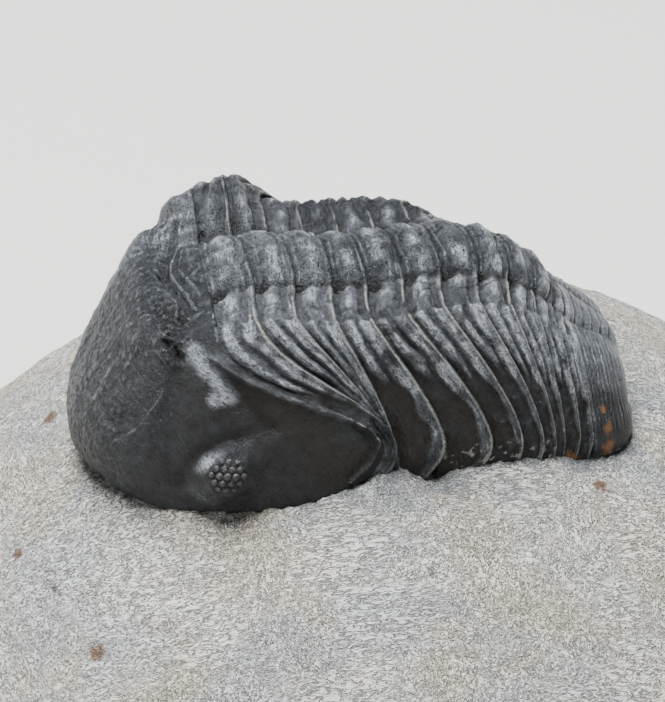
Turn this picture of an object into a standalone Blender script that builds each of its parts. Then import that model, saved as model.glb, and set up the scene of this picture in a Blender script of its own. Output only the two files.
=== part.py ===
"""Struveaspis trilobite standing proud of its block of limestone, as two closed solids in metres.

The animal lies along X with its head at -X, and its left side, the one that shows best, faces -Y.
Its surface is a smooth vault, read from a few stations along the body, with the relief added
along the surface's normal. The stone is a loft from the rim of the animal's pocket out to the
edge of the block, and down to a flat sawn base.
"""

import math

import bmesh
import bpy
import numpy as np
from mathutils import Vector, noise

MM = 0.001
OBJECT_NAME = "struveaspis_trilobite_fossil"

# The stone: a dome that the photo shows, on a block that it only shows in part (millimetres)
DOME_CENTRE = (3.0, 3.9, -57.3)
DOME_RADIUS = 48.5
DOME_REACH = 34.0
BLOCK_HALF_LENGTH = 43.0
BLOCK_HALF_WIDTH = 38.0
BLOCK_BASE = -40.0
BLOCK_SQUARENESS = 2.4
EDGE_ROUNDING = 6.0
BASE_CHAMFER = 1.2
WALL_BULGE = 0.4
BASE_INSET = 0.3
NOISE_SEED = 7
STONE_ROUGHNESS = 0.25
WALL_ROUGHNESS = 0.6
NOISE_SCALE = 0.09
BLOCK_SEGMENTS = 80

# The waviness of the block's outline: how many lobes, how deep, and the turn of each set
BLOCK_LOBES = ((2, 0.025, 0.7), (3, 0.02, 2.0), (5, 0.012, 0.0))

# Where the block's rings lie: shares of the way from the pocket to the edge, and degrees round it
TOP_SHARES = (0.05, 0.16, 0.32, 0.5, 0.7, 0.87, 1)
EDGE_TURNS = (35, 65, 90)
EDGE_FALL = 0.4

# The pocket that the animal sits in
EMBEDDED_DEPTH = 0.4
GAP = 0.3
FRONT_GAP = 0.4
BELLY = -17.0

# Stations along the body: the crest's x and z, the drop from the crest to the shoulder, the
# shoulder's half width, and the margin's x and half width (millimetres). Each thoracic segment
# ends at a station.
STATIONS = np.array([
    (-19.2, -14.8, 0.00, 0.0, -19.2, 0.0),
    (-20.7, -13.0, 0.00, 0.1, -18.4, 3.6),
    (-20.9, -10.4, 0.00, 0.3, -16.8, 6.6),
    (-20.2, -7.8, 0.05, 0.8, -14.5, 9.3),
    (-18.9, -5.3, 0.10, 1.7, -11.6, 11.1),
    (-17.3, -2.8, 0.10, 2.9, -8.6, 12.2),
    (-15.4, -0.5, 0.15, 4.6, -6.0, 12.7),
    (-13.2, -0.2, 0.15, 6.3, -3.3, 12.7),
    (-10.9, -0.1, 0.15, 7.7, -2.4, 12.5),
    (-8.0, 0.5, 0.15, 8.4, 0.5, 12.2),
    (-5.2, 0.4, 0.15, 8.6, 0.9, 11.9),
    (-2.5, 0.1, 0.15, 8.6, 1.1, 11.7),
    (0.0, 0.0, 0.15, 8.6, 4.7, 11.5),
    (2.6, 0.3, 0.20, 8.5, 8.0, 11.3),
    (5.3, 0.6, 0.50, 7.9, 10.2, 11.0),
    (8.0, 0.5, 1.00, 6.8, 11.8, 10.7),
    (10.3, -0.2, 0.95, 6.3, 12.8, 10.4),
    (12.2, -1.4, 0.75, 6.0, 13.6, 10.0),
    (13.7, -2.9, 0.35, 6.2, 14.8, 9.6),
    (14.9, -4.3, 0.20, 5.7, 15.8, 9.2),
    (16.3, -5.4, 0.15, 4.9, 17.0, 8.6),
    (17.7, -6.4, 0.15, 4.2, 18.3, 7.5),
    (19.0, -8.0, 0.10, 3.0, 19.2, 5.5),
    (19.7, -12.3, 0.00, 0.0, 19.7, 0.0),
])
HEAD_END = 8
THORAX_END = 19
TAIL_END = 23

# How much higher the far shoulder stands than the near one, by station
FAR_RISE = ((0, 0), (4.9, 0), (6.0, 0.35), (6.55, 0.3), (7.45, 2.3), (8.9, 2.6), (9.7, 0.1), (11.8, 0.3),
            (13.2, 0), (14.9, -1.1), (18, -1.2), (21, -0.5), (23, 0))

# How the mesh is divided: across, from the crest to the margin, and along the body
ACROSS = (0.09, 0.14, 0.175, 0.22, 0.28, 0.34, 0.39, 0.43, 0.475, 0.52, 0.57, 0.62, 0.67,
          0.72, 0.77, 0.82, 0.87, 0.91, 0.95, 0.98, 1.0)
HEAD_ROWS = (0, 0.25, 0.6, 1, 1.5, 2, 2.5, 3, 3.4, 3.8, 4.2, 4.6, 5, 5.4, 5.8, 6.15, 6.5, 6.8,
             7.05, 7.3, 7.65, 7.96)
SEGMENT_ROWS = (0.06, 0.36, 0.68, 0.96)
TAIL_ROWS = (19.05, 19.45, 19.55, 19.95, 20.05, 20.45, 20.55, 20.95, 21.05, 21.45, 21.6, 22.1,
             22.6, 23)
SHOULDER_SHARE = 0.42
WIDE_SHOULDER = 7.0

# The drops between which a pleura or the cheek sweeps back, and its last turn under
SWEEP_START = 0.02
SWEEP_LENGTH = 0.66
TURN_UNDER = 0.7

# Relief, in millimetres
RING_FURROW = 0.35
RING_START = 0.1
RING_SLOPE = 0.4
DORSAL_FURROW = 0.15
DORSAL_FURROW_WIDTH = 0.5
PIT_DEPTH = 0.5
PIT_SHARE = 0.25
PIT_WIDTH = 0.2
RIB_INNER = 0.35
RIB_OUTER = 0.55
TAIL_RIB = 0.2
TAIL_SOFTENING = 0.6
MARGIN_START = 0.9
RELIEF_FADE = 0.8
HEAD_FADE = (7.9, 0.3)

# How high the axis arches over the vault, and its half width, by station
AXIS_RISE = ((7, 1.0), (9, 1.3), (12, 1.4), (14, 1.2), (15, 0.95), (17, 0.7), (19, 0.4),
             (21, 0.2), (23, 0.05))
AXIS_HALF_WIDTH = ((7, 4.1), (9, 3.8), (14, 3.7), (19, 2.9), (22, 1.6), (23, 1.0))

# Lines on the head, as stations along the body and shares of the way from crest to margin:
# the path, the height over the vault (a furrow is negative) and the half width
OCCIPITAL_FURROW = ([(7.65, -0.30), (7.3, -0.195), (7.0, -0.04), (7.0, 0.04), (7.3, 0.195),
                     (7.65, 0.30)], -0.6, 0.45)
AXIAL_FURROW = ([(7.3, 0.24), (6.75, 0.33), (6.25, 0.45), (5.9, 0.53), (5.4, 0.57), (5.0, 0.595),
                 (4.6, 0.645), (4.25, 0.715), (3.8, 0.82), (3.4, 0.93)], -0.8, 1.0)
ROUGH_HOLLOW = ([(6.95, 0.30), (6.6, 0.36)], -0.7, 1.0)
LATERAL_NODE = ([(6.95, 0.265), (6.85, 0.28)], 0.7, 0.55)
SMALL_HOLLOW = ([(6.3, 0.47), (6.25, 0.50)], -0.8, 0.7)
BORDER_FURROW = ([(7.45, 0.47), (7.3, 0.57), (7.1, 0.63), (6.65, 0.68), (6.4, 0.745),
                  (6.3, 0.80)], -0.45, 0.8)
BORDER_RIM = ([(7.93, 0.34), (7.85, 0.50), (7.8, 0.62), (7.8, 0.74), (7.8, 0.84)], 0.45, 0.6)
CHEEK_SWELL = ([(6.75, 0.585), (6.45, 0.66)], 0.4, 1.3)
HEAD_LINES = (AXIAL_FURROW, ROUGH_HOLLOW, LATERAL_NODE, SMALL_HOLLOW, BORDER_FURROW, BORDER_RIM,
              CHEEK_SWELL)

# The eye: its long axis on the near cheek, and how far it stands out
EYE_ENDS = ((4.45, 0.80), (5.2, 0.87))
EYE_HEIGHT = 1.3
EYE_RADIUS = 1.9
EYE_STEEPNESS = 1.4


def smooth(share):
    """Ease from 0 to 1 while the share goes from 0 to 1."""
    share = np.clip(share, 0, 1)
    return share * share * (3 - 2 * share)


def eased(v, knots):
    """Values that ease from each knot to the next."""
    place = np.array([knot[0] for knot in knots], float)
    value = np.array([knot[1] for knot in knots], float)
    i = np.clip(np.searchsorted(place, v, side="right") - 1, 0, len(place) - 2)
    share = smooth((v - place[i]) / (place[i + 1] - place[i]))
    return value[i] + (value[i + 1] - value[i]) * share


def dome(x, y):
    """Height of the stone at a place in plan: a dome that runs on as an even slope."""
    reach = np.hypot(x - DOME_CENTRE[0], y - DOME_CENTRE[1])
    on_dome = np.minimum(reach, DOME_REACH)
    height = np.sqrt(DOME_RADIUS ** 2 - on_dome ** 2)
    slope = on_dome / height
    return DOME_CENTRE[2] + height - slope * (reach - on_dome)


def station(v):
    """Read the body's stations at v, as a smooth curve through them."""
    i = np.clip(v.astype(int), 0, TAIL_END - 1)
    t = (v - i)[:, None]
    before = STATIONS[np.maximum(i - 1, 0)]
    start = STATIONS[i]
    end = STATIONS[i + 1]
    after = STATIONS[np.minimum(i + 2, TAIL_END)]
    cubic = 3 * start - before - 3 * end + after
    square = 2 * before - 5 * start + 4 * end - after
    return (0.5 * (2 * start + (end - before) * t + square * t ** 2 + cubic * t ** 3)).T


def sweep(drop, v):
    """Share of the way back that a pleura or the cheek has swept, where it has dropped so far."""
    corner = smooth((drop - SWEEP_START) / SWEEP_LENGTH)
    corner = corner - 0.25 * (np.maximum(drop - TURN_UNDER, 0) / (1 - TURN_UNDER)) ** 1.5
    tip = np.sin(math.pi / 2 * np.minimum(1, 1.03 * drop))
    tip = (tip - 0.1 * (np.maximum(drop - 0.82, 0) / 0.18) ** 2) / 0.9
    into_head = smooth((v - 5) / 3)
    into_thorax = smooth((v - HEAD_END) / 2)
    head = drop * (1 - into_head) + corner / 0.75 * into_head
    body = corner / (0.75 + 0.25 * into_thorax) * (1 - into_thorax) + tip * into_thorax
    return np.where(v <= HEAD_END, head, body)


def vault(v, u):
    """Points of the smooth vault. u is -1 at the near margin, 0 at the crest, 1 at the far one."""
    v = np.asarray(v, float)
    u = np.asarray(u, float)
    crest_x, crest_z, fall, shoulder, margin_x, half_width = station(v)
    side = np.where(u < 0, -1.0, 1.0)
    t = np.abs(u)
    flat = SHOULDER_SHARE * np.clip(shoulder / WIDE_SHOULDER, 0.001, 1)
    inner = np.minimum(t / flat, 1)
    turn = np.clip((t - flat) / (1 - flat), 0, 1) * math.pi / 2
    drop = 1 - np.cos(turn)
    margin_z = dome(margin_x, side * half_width) - EMBEDDED_DEPTH
    shoulder_z = crest_z - fall * inner ** 2
    y = shoulder * inner + (half_width - shoulder) * np.sin(turn)
    x = crest_x + (margin_x - crest_x) * sweep(drop, v)
    z = shoulder_z + (margin_z - shoulder_z) * drop
    on_far_shoulder = smooth((side * y - 2.5) / 5) * (1 - smooth(drop / 0.5))
    z = z + eased(v, FAR_RISE) * on_far_shoulder
    end = (v <= 0) | (v >= TAIL_END)
    x = np.where(end, margin_x, x)
    z = np.where(end, margin_z, z)
    return np.stack([x, side * y, z], axis=-1)


def distance_to_path(points, path):
    """Distance from each point to a path given as stations and shares."""
    line = vault([v for v, u in path], [u for v, u in path])
    best = np.full(len(points), np.inf)
    for a, b in zip(line[:-1], line[1:]):
        along = b - a
        share = np.clip((points - a) @ along / (along @ along), 0, 1)
        gap = np.linalg.norm(points - a - share[:, None] * along, axis=1)
        best = np.minimum(best, gap)
    return best


def mirrored(path):
    return [(v, -u) for v, u in path]


def line_relief(points, path, height, width):
    return height * np.exp(-(distance_to_path(points, path) / width) ** 2)


def head_relief(points):
    """Furrows, nodes and eyes of the head, the same on both sides."""
    relief = line_relief(points, *OCCIPITAL_FURROW)
    for path, height, width in HEAD_LINES:
        relief = relief + line_relief(points, path, height, width)
        relief = relief + line_relief(points, mirrored(path), height, width)
    for eye in (EYE_ENDS, mirrored(EYE_ENDS)):
        reach = 1 - distance_to_path(points, eye) / EYE_RADIUS
        relief = relief + EYE_HEIGHT * smooth(reach * EYE_STEEPNESS)
    return relief


def axis_relief(v, y):
    """The raised axis with its rings, and the furrow with a pit beside each ring."""
    half_width = eased(v, AXIS_HALF_WIDTH)
    share = np.abs(y) / half_width
    inside = np.clip(1 - share ** 2, 0, 1)
    start = smooth((v - 7) / 0.6)
    end = 1 - TAIL_SOFTENING * smooth((v - 21) / 2)
    tail = v > THORAX_END
    part = np.where(tail, (2 * v) % 1, v % 1)
    ring = RING_FURROW * (smooth((part - RING_START) / RING_SLOPE) - 1)
    ring = ring * np.where(tail, TAIL_SOFTENING, 1)
    furrow = np.exp(-((np.abs(y) - half_width) / DORSAL_FURROW_WIDTH) ** 2)
    pit = np.exp(-((part - PIT_SHARE) / PIT_WIDTH) ** 2) * np.where(tail, TAIL_SOFTENING / 2, 1)
    raised = (eased(v, AXIS_RISE) + ring) * inside
    return start * end * (raised - furrow * (DORSAL_FURROW + PIT_DEPTH * pit))


def rib_relief(v, y):
    """Each segment rises toward its back edge, where it overlaps the next one."""
    shoulder = station(v)[3]
    outward = smooth((np.abs(y) - 0.5 * shoulder) / 4)
    height = RIB_INNER + (RIB_OUTER - RIB_INNER) * outward
    tail = v > THORAX_END
    part = np.where(tail, (2 * v) % 1, v % 1)
    height = np.where(tail, TAIL_RIB * (1 - smooth((v - 21.5) / 1.2)), height)
    return np.where(v > HEAD_END, height * (smooth(part / 0.9) - 0.5), 0)


def relief(v, u, points):
    """Height of the relief over the vault. It fades out at the margin, which stays in its pocket."""
    y = points[:, 1]
    t = np.abs(u)
    in_head = 1 - smooth((v - HEAD_FADE[0]) / HEAD_FADE[1])
    total = head_relief(points) * in_head + axis_relief(v, y) + rib_relief(v, y)
    inside = 1 - smooth((t - MARGIN_START) / (1 - MARGIN_START))
    return total * inside * smooth(v / RELIEF_FADE) * smooth((TAIL_END - v) / RELIEF_FADE)


def body_rows():
    segments = [k + part for k in range(HEAD_END, THORAX_END) for part in SEGMENT_ROWS]
    return np.array(list(HEAD_ROWS) + segments + list(TAIL_ROWS))


def body_columns():
    return np.array([-t for t in reversed(ACROSS)] + [0.0] + list(ACROSS))


def vertex_array(bm):
    return np.array([v.co[:] for v in bm.verts])


def move_vertices(bm, points):
    for vertex, point in zip(bm.verts, points):
        vertex.co = Vector(point.tolist())


def close_body(bm):
    """Run the margin down to a flat underside and close it."""
    edges = [e for e in bm.edges if e.is_boundary]
    skirt = bmesh.ops.extrude_edge_only(bm, edges=edges)["geom"]
    for vertex in (g for g in skirt if isinstance(g, bmesh.types.BMVert)):
        vertex.co.z = BELLY
    bmesh.ops.holes_fill(bm, edges=[e for e in bm.edges if e.is_boundary], sides=0)
    bmesh.ops.recalc_face_normals(bm, faces=bm.faces[:])


def trilobite_mesh():
    """The whole animal: a grid laid on the vault, moved out by the relief, and closed below."""
    rows = body_rows()
    columns = body_columns()
    bm = bmesh.new()
    bmesh.ops.create_grid(bm, x_segments=len(columns) - 1, y_segments=len(rows) - 1, size=1)
    place = vertex_array(bm)
    column = np.rint((place[:, 0] + 1) / 2 * (len(columns) - 1)).astype(int)
    row = np.rint((place[:, 1] + 1) / 2 * (len(rows) - 1)).astype(int)
    u = columns[column]
    v = rows[row]
    points = vault(v, u)
    move_vertices(bm, points)
    bm.normal_update()
    normals = np.array([vert.normal[:] for vert in bm.verts])
    if normals[:, 2].sum() < 0:
        normals = -normals
    move_vertices(bm, points + normals * relief(v, u, points)[:, None])
    bmesh.ops.remove_doubles(bm, verts=bm.verts[:], dist=0.001)
    close_body(bm)
    return bm


def margin_loop(count):
    """Evenly spaced points of the margin in plan, from the head along the near side and back."""
    v = np.linspace(0, TAIL_END, 400)
    near = vault(v, np.full(len(v), -1.0))
    far = vault(v[::-1], np.full(len(v), 1.0))
    loop = np.concatenate([near, far[1:]])[:, :2]
    length = np.concatenate([[0], np.cumsum(np.linalg.norm(np.diff(loop, axis=0), axis=1))])
    wanted = np.arange(count) / count * length[-1]
    return np.stack([np.interp(wanted, length, loop[:, k]) for k in (0, 1)], axis=-1)


def pocket_rim():
    """The margin moved outward by the gap, a little more in front, where the head overhangs."""
    loop = margin_loop(BLOCK_SEGMENTS)
    along = np.roll(loop, -1, axis=0) - np.roll(loop, 1, axis=0)
    outward = np.stack([along[:, 1], -along[:, 0]], axis=-1)
    outward = outward / np.linalg.norm(outward, axis=1)[:, None]
    gap = GAP + FRONT_GAP * smooth((-loop[:, 0] - 13) / 4)
    return loop + outward * gap[:, None]


def block_outline(rim):
    """Points of the block's edge in plan, one for each point of the rim, and the way out to them."""
    angle = np.arctan2(rim[:, 1], rim[:, 0])
    away = np.stack([np.cos(angle), np.sin(angle)], axis=-1)
    power = BLOCK_SQUARENESS
    long_share = np.abs(away[:, 0]) / BLOCK_HALF_LENGTH
    wide_share = np.abs(away[:, 1]) / BLOCK_HALF_WIDTH
    radius = (long_share ** power + wide_share ** power) ** (-1 / power)
    lobes = sum(depth * np.sin(count * angle + turn) for count, depth, turn in BLOCK_LOBES)
    return away * (radius * (1 + lobes))[:, None] + DOME_CENTRE[:2], away


def roughened(points, amount):
    """Shift points by slow noise, for the uneven faces of broken and rubbed stone."""
    shift = [noise.noise_vector(Vector(p) * NOISE_SCALE) for p in points.tolist()]
    return points + np.array([s[:] for s in shift]) * amount


def block_rings():
    """Rings of points from the pocket's floor over the dome and down to the base's rim."""
    rim = pocket_rim()
    edge, away = block_outline(rim)
    top_end = edge - away * EDGE_ROUNDING
    rings = [np.column_stack([rim, np.full(len(rim), BELLY - GAP)])]
    rings.append(np.column_stack([rim, dome(rim[:, 0], rim[:, 1])]))
    for share in TOP_SHARES:
        plan = rim + (top_end - rim) * share
        ring = np.column_stack([plan, dome(plan[:, 0], plan[:, 1])])
        rings.append(roughened(ring, STONE_ROUGHNESS * smooth(share * 2)))
    for degrees in EDGE_TURNS:
        angle = math.radians(degrees)
        plan = top_end + away * EDGE_ROUNDING * math.sin(angle)
        height = dome(plan[:, 0], plan[:, 1]) - EDGE_ROUNDING * EDGE_FALL * (1 - math.cos(angle))
        rings.append(roughened(np.column_stack([plan, height]), WALL_ROUGHNESS))
    lowest = BLOCK_BASE + BASE_CHAMFER
    middle = rings[-1].copy()
    middle[:, 2] = 0.5 * (middle[:, 2] + lowest)
    middle[:, :2] += away * WALL_BULGE
    rings.append(roughened(middle, WALL_ROUGHNESS))
    bottom = np.column_stack([edge - away * BASE_INSET, np.full(len(edge), lowest)])
    rings.append(bottom)
    base_edge = edge - away * (BASE_INSET + BASE_CHAMFER)
    base = np.column_stack([base_edge, np.full(len(edge), BLOCK_BASE)])
    rings.append(base)
    return rings


def matrix_mesh():
    """The block: one loop of edges, extruded from ring to ring, with a flat floor and base."""
    rings = block_rings()
    bm = bmesh.new()
    bmesh.ops.create_circle(bm, cap_ends=True, segments=BLOCK_SEGMENTS, radius=1)
    loop = bm.verts[:]
    edges = bm.edges[:]
    for vertex, point in zip(loop, rings[0]):
        vertex.co = Vector(point.tolist())
    for ring in rings[1:]:
        geom = bmesh.ops.extrude_edge_only(bm, edges=edges)["geom"]
        loop = [g for g in geom if isinstance(g, bmesh.types.BMVert)]
        edges = [g for g in geom if isinstance(g, bmesh.types.BMEdge)]
        for vertex, point in zip(loop, ring):
            vertex.co = Vector(point.tolist())
    bmesh.ops.holes_fill(bm, edges=edges, sides=0)
    bmesh.ops.recalc_face_normals(bm, faces=bm.faces[:])
    return bm


def principled(name, colour, roughness):
    material = bpy.data.materials.new(name)
    material.use_nodes = True
    shader = material.node_tree.nodes["Principled BSDF"]
    shader.inputs["Base Color"].default_value = (*colour, 1)
    shader.inputs["Roughness"].default_value = roughness
    shader.inputs["Metallic"].default_value = 0
    return material


def add_part(name, bm, shift, material, collection):
    """Turn a mesh in millimetres into an object in metres, standing on the ground plane."""
    bmesh.ops.translate(bm, verts=bm.verts[:], vec=shift)
    bmesh.ops.scale(bm, verts=bm.verts[:], vec=(MM, MM, MM))
    for face in bm.faces:
        face.smooth = True
    mesh = bpy.data.meshes.new(name)
    bm.to_mesh(mesh)
    bm.free()
    mesh.materials.append(material)
    part = bpy.data.objects.new(name, mesh)
    collection.objects.link(part)
    return part


def main():
    for old in list(bpy.data.objects):
        bpy.data.objects.remove(old, do_unlink=True)
    noise.seed_set(NOISE_SEED)
    collection = bpy.data.collections.new(OBJECT_NAME)
    bpy.context.scene.collection.children.link(collection)
    block = matrix_mesh()
    animal = trilobite_mesh()
    corners = vertex_array(block)
    middle = 0.5 * (corners.min(axis=0) + corners.max(axis=0))
    shift = Vector((-middle[0], -middle[1], -BLOCK_BASE))
    print("shift", [round(c, 3) for c in shift])
    stone = principled("limestone", (0.55, 0.53, 0.47), 0.85)
    shell = principled("black_calcite", (0.035, 0.036, 0.038), 0.45)
    add_part("matrix", block, shift, stone, collection)
    add_part("trilobite", animal, shift, shell, collection)


main()
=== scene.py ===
# %% [markdown]
# # A Struveaspis trilobite on its block of limestone
#
# The animal is a phacopid trilobite, turned to black calcite. A preparer has cut the pale
# limestone away around it, so that it stands proud of a smooth dome of stone. The CAD model
# holds both as plain solids. This script gives them their real surfaces: the head with its
# lensed eyes, eleven overlapping segments, the tail, and the scribed stone.

# %% Load the frame
import math
import bmesh
import bpy
import numpy as np
from mathutils import Matrix, Vector, noise


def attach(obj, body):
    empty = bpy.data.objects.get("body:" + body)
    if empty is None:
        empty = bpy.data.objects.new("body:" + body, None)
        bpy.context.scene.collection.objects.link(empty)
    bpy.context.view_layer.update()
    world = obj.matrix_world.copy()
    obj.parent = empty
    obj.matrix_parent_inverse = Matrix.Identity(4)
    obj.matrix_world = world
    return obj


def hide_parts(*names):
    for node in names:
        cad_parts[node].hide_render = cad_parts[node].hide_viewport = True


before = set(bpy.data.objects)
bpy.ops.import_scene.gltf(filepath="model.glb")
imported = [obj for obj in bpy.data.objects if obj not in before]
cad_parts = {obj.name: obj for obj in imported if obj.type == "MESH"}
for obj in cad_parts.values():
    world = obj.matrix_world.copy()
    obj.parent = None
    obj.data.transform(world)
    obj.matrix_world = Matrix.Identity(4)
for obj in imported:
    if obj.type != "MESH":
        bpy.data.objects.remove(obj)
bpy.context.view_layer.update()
print("nodes:", sorted(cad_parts))

# %% [markdown]
# ## Working units
#
# The animal was measured in millimetres, from a point on its back over the fourth segment.
# Everything below is worked out there, and moved into the frame, which is in metres with its
# origin under the block, at the very end of each step.

# %% Units and the way into the frame
MM = 0.001
TO_FRAME = np.array([-3.794, -4.117, 40.0])


def in_frame(points):
    """Points in the animal's millimetres, as metres in the frame."""
    return (np.asarray(points, float) + TO_FRAME) * MM


print("the point over the fourth segment stands at", in_frame([0, 0, 0]).round(4))

# %% [markdown]
# ## The camera
#
# The photo was taken with a long lens, from the animal's left and a little toward its head,
# looking down at thirty degrees. A long lens far away keeps the perspective as flat as it is
# there. The view is set by its two angles, its distance, and the pixel on which a known point
# of the animal lands.

# %% Place the camera
PICTURE_WIDTH = 665
PICTURE_HEIGHT = 702
PIXELS_PER_MM = 14.0
VIEW_DISTANCE = 285.0
VIEW_FROM_HEAD = math.radians(8)
VIEW_DOWN = math.radians(30)
BACK_PIXEL = (355.2, 258.4)
SENSOR_WIDTH = 36.0

flat = math.cos(VIEW_DOWN)
looking = np.array([math.sin(VIEW_FROM_HEAD) * flat, math.cos(VIEW_FROM_HEAD) * flat,
                    -math.sin(VIEW_DOWN)])
rightward = np.array([math.cos(VIEW_FROM_HEAD), -math.sin(VIEW_FROM_HEAD), 0])
upward = np.cross(rightward, looking)
offset_right = (BACK_PIXEL[0] - PICTURE_WIDTH / 2) / PIXELS_PER_MM
offset_up = (PICTURE_HEIGHT / 2 - BACK_PIXEL[1]) / PIXELS_PER_MM
eye_point = -(VIEW_DISTANCE * looking + offset_right * rightward + offset_up * upward)
focal_pixels = PIXELS_PER_MM * VIEW_DISTANCE

camera_data = bpy.data.cameras.new("camera")
camera_data.sensor_width = SENSOR_WIDTH
camera_data.lens = focal_pixels / PICTURE_HEIGHT * SENSOR_WIDTH
camera_data.clip_start = 0.01
camera_data.clip_end = 10
camera = bpy.data.objects.new("camera", camera_data)
bpy.context.scene.collection.objects.link(camera)
camera.location = Vector(in_frame(eye_point))
camera.rotation_euler = Vector(looking).to_track_quat("-Z", "Y").to_euler()
bpy.context.scene.camera = camera
print("camera at", [round(c, 4) for c in camera.location], "lens", round(camera_data.lens, 1), "mm")

# %% [markdown]
# ## The vault
#
# A trilobite's back is one arched sheet. Stations along the body give the crest, the shoulder
# where the ribs bend down, and the margin in the stone. A smooth curve runs through them, and
# each segment ends exactly at a station, so the ribs come from the same few numbers. From the
# shoulder, each rib drops through a quarter of an ellipse and sweeps back, more strongly
# behind the head, where the first three are crowded under the corner of the cheek.

# %% Stations and the smooth vault
DOME_CENTRE = (3.0, 3.9, -57.3)
DOME_RADIUS = 48.5
DOME_REACH = 34.0
EMBEDDED_DEPTH = 0.4
SHOULDER_SHARE = 0.42
WIDE_SHOULDER = 7.0
# how much higher the far shoulder stands than the near one, by station
FAR_RISE = ((0, 0), (4.9, 0), (6.0, 0.35), (6.55, 0.3), (7.45, 2.3), (8.9, 2.5), (10.2, 0.1), (11.8, 0.3),
            (13.2, 0), (14.9, -1.1), (18, -1.2), (21, -0.5), (23, 0))
HEAD_END = 8
THORAX_END = 19
TAIL_END = 23
SEGMENTS = THORAX_END - HEAD_END

# crest x, crest z, drop from crest to shoulder, shoulder half width, margin x, margin half width
STATIONS = np.array([
    (-19.2, -14.8, 0.00, 0.0, -19.2, 0.0),
    (-20.7, -13.0, 0.00, 0.1, -18.4, 3.6),
    (-20.9, -10.4, 0.00, 0.3, -16.8, 6.6),
    (-20.2, -7.8, 0.05, 0.8, -14.5, 9.3),
    (-18.9, -5.3, 0.10, 1.7, -11.6, 11.1),
    (-17.3, -2.8, 0.10, 2.9, -8.6, 12.2),
    (-15.4, -0.5, 0.15, 4.6, -6.0, 12.7),
    (-13.2, -0.2, 0.15, 6.3, -3.3, 12.7),
    (-10.9, -0.1, 0.15, 7.7, -2.4, 12.5),
    (-8.0, 0.5, 0.15, 8.4, 0.5, 12.2),
    (-5.2, 0.4, 0.15, 8.6, 0.9, 11.9),
    (-2.5, 0.1, 0.15, 8.6, 1.1, 11.7),
    (0.0, 0.0, 0.15, 8.6, 4.7, 11.5),
    (2.6, 0.3, 0.20, 8.5, 8.0, 11.3),
    (5.3, 0.6, 0.50, 7.9, 10.2, 11.0),
    (8.0, 0.5, 1.00, 6.8, 11.8, 10.7),
    (10.3, -0.2, 0.95, 6.3, 12.8, 10.4),
    (12.2, -1.4, 0.75, 6.0, 13.6, 10.0),
    (13.7, -2.9, 0.35, 6.2, 14.8, 9.6),
    (14.9, -4.3, 0.20, 5.7, 15.8, 9.2),
    (16.3, -5.4, 0.15, 4.9, 17.0, 8.6),
    (17.7, -6.4, 0.15, 4.2, 18.3, 7.5),
    (19.0, -8.0, 0.10, 3.0, 19.2, 5.5),
    (19.7, -12.3, 0.00, 0.0, 19.7, 0.0),
])


def smooth(share):
    """Ease from 0 to 1 while the share goes from 0 to 1."""
    share = np.clip(share, 0, 1)
    return share * share * (3 - 2 * share)


def eased(v, knots):
    """Values that ease from each knot to the next."""
    place = np.array([k[0] for k in knots], float)
    value = np.array([k[1] for k in knots], float)
    i = np.clip(np.searchsorted(place, v, side="right") - 1, 0, len(place) - 2)
    return value[i] + (value[i + 1] - value[i]) * smooth((v - place[i]) / (place[i + 1] - place[i]))


def bell(distance, width):
    """1 at a distance of 0, falling to nothing over about twice the width."""
    return np.exp(-(distance / width) ** 2)


def dome(x, y):
    """Height of the stone at a place in plan: a dome that runs on as an even slope."""
    reach = np.hypot(x - DOME_CENTRE[0], y - DOME_CENTRE[1])
    on_dome = np.minimum(reach, DOME_REACH)
    height = np.sqrt(DOME_RADIUS ** 2 - on_dome ** 2)
    return DOME_CENTRE[2] + height - on_dome / height * (reach - on_dome)


def station(v):
    """The six station values at v, as smooth curves along the body."""
    i = np.clip(v.astype(int), 0, TAIL_END - 1)
    t = (v - i)[..., None]
    before = STATIONS[np.maximum(i - 1, 0)]
    start = STATIONS[i]
    end = STATIONS[i + 1]
    after = STATIONS[np.minimum(i + 2, TAIL_END)]
    cubic = 3 * start - before - 3 * end + after
    square = 2 * before - 5 * start + 4 * end - after
    curve = 0.5 * (2 * start + (end - before) * t + square * t ** 2 + cubic * t ** 3)
    return np.moveaxis(curve, -1, 0)


def sweep(drop, v):
    """Share of the way back that a rib or the cheek has swept, where it has dropped so far."""
    corner = smooth((drop - 0.02) / 0.66) - 0.25 * (np.maximum(drop - 0.7, 0) / 0.3) ** 1.5
    tip = np.sin(math.pi / 2 * np.minimum(1, 1.03 * drop))
    tip = (tip - 0.1 * (np.maximum(drop - 0.82, 0) / 0.18) ** 2) / 0.9
    into_head = smooth((v - 5) / 3)
    into_thorax = smooth((v - HEAD_END) / 2)
    head = drop * (1 - into_head) + corner / 0.75 * into_head
    body = corner / (0.75 + 0.25 * into_thorax) * (1 - into_thorax) + tip * into_thorax
    return np.where(v <= HEAD_END, head, body)


def flat_share(shoulder):
    """Share of the way to the margin that is flat, up to the shoulder."""
    return SHOULDER_SHARE * np.clip(shoulder / WIDE_SHOULDER, 0.001, 1)


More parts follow.
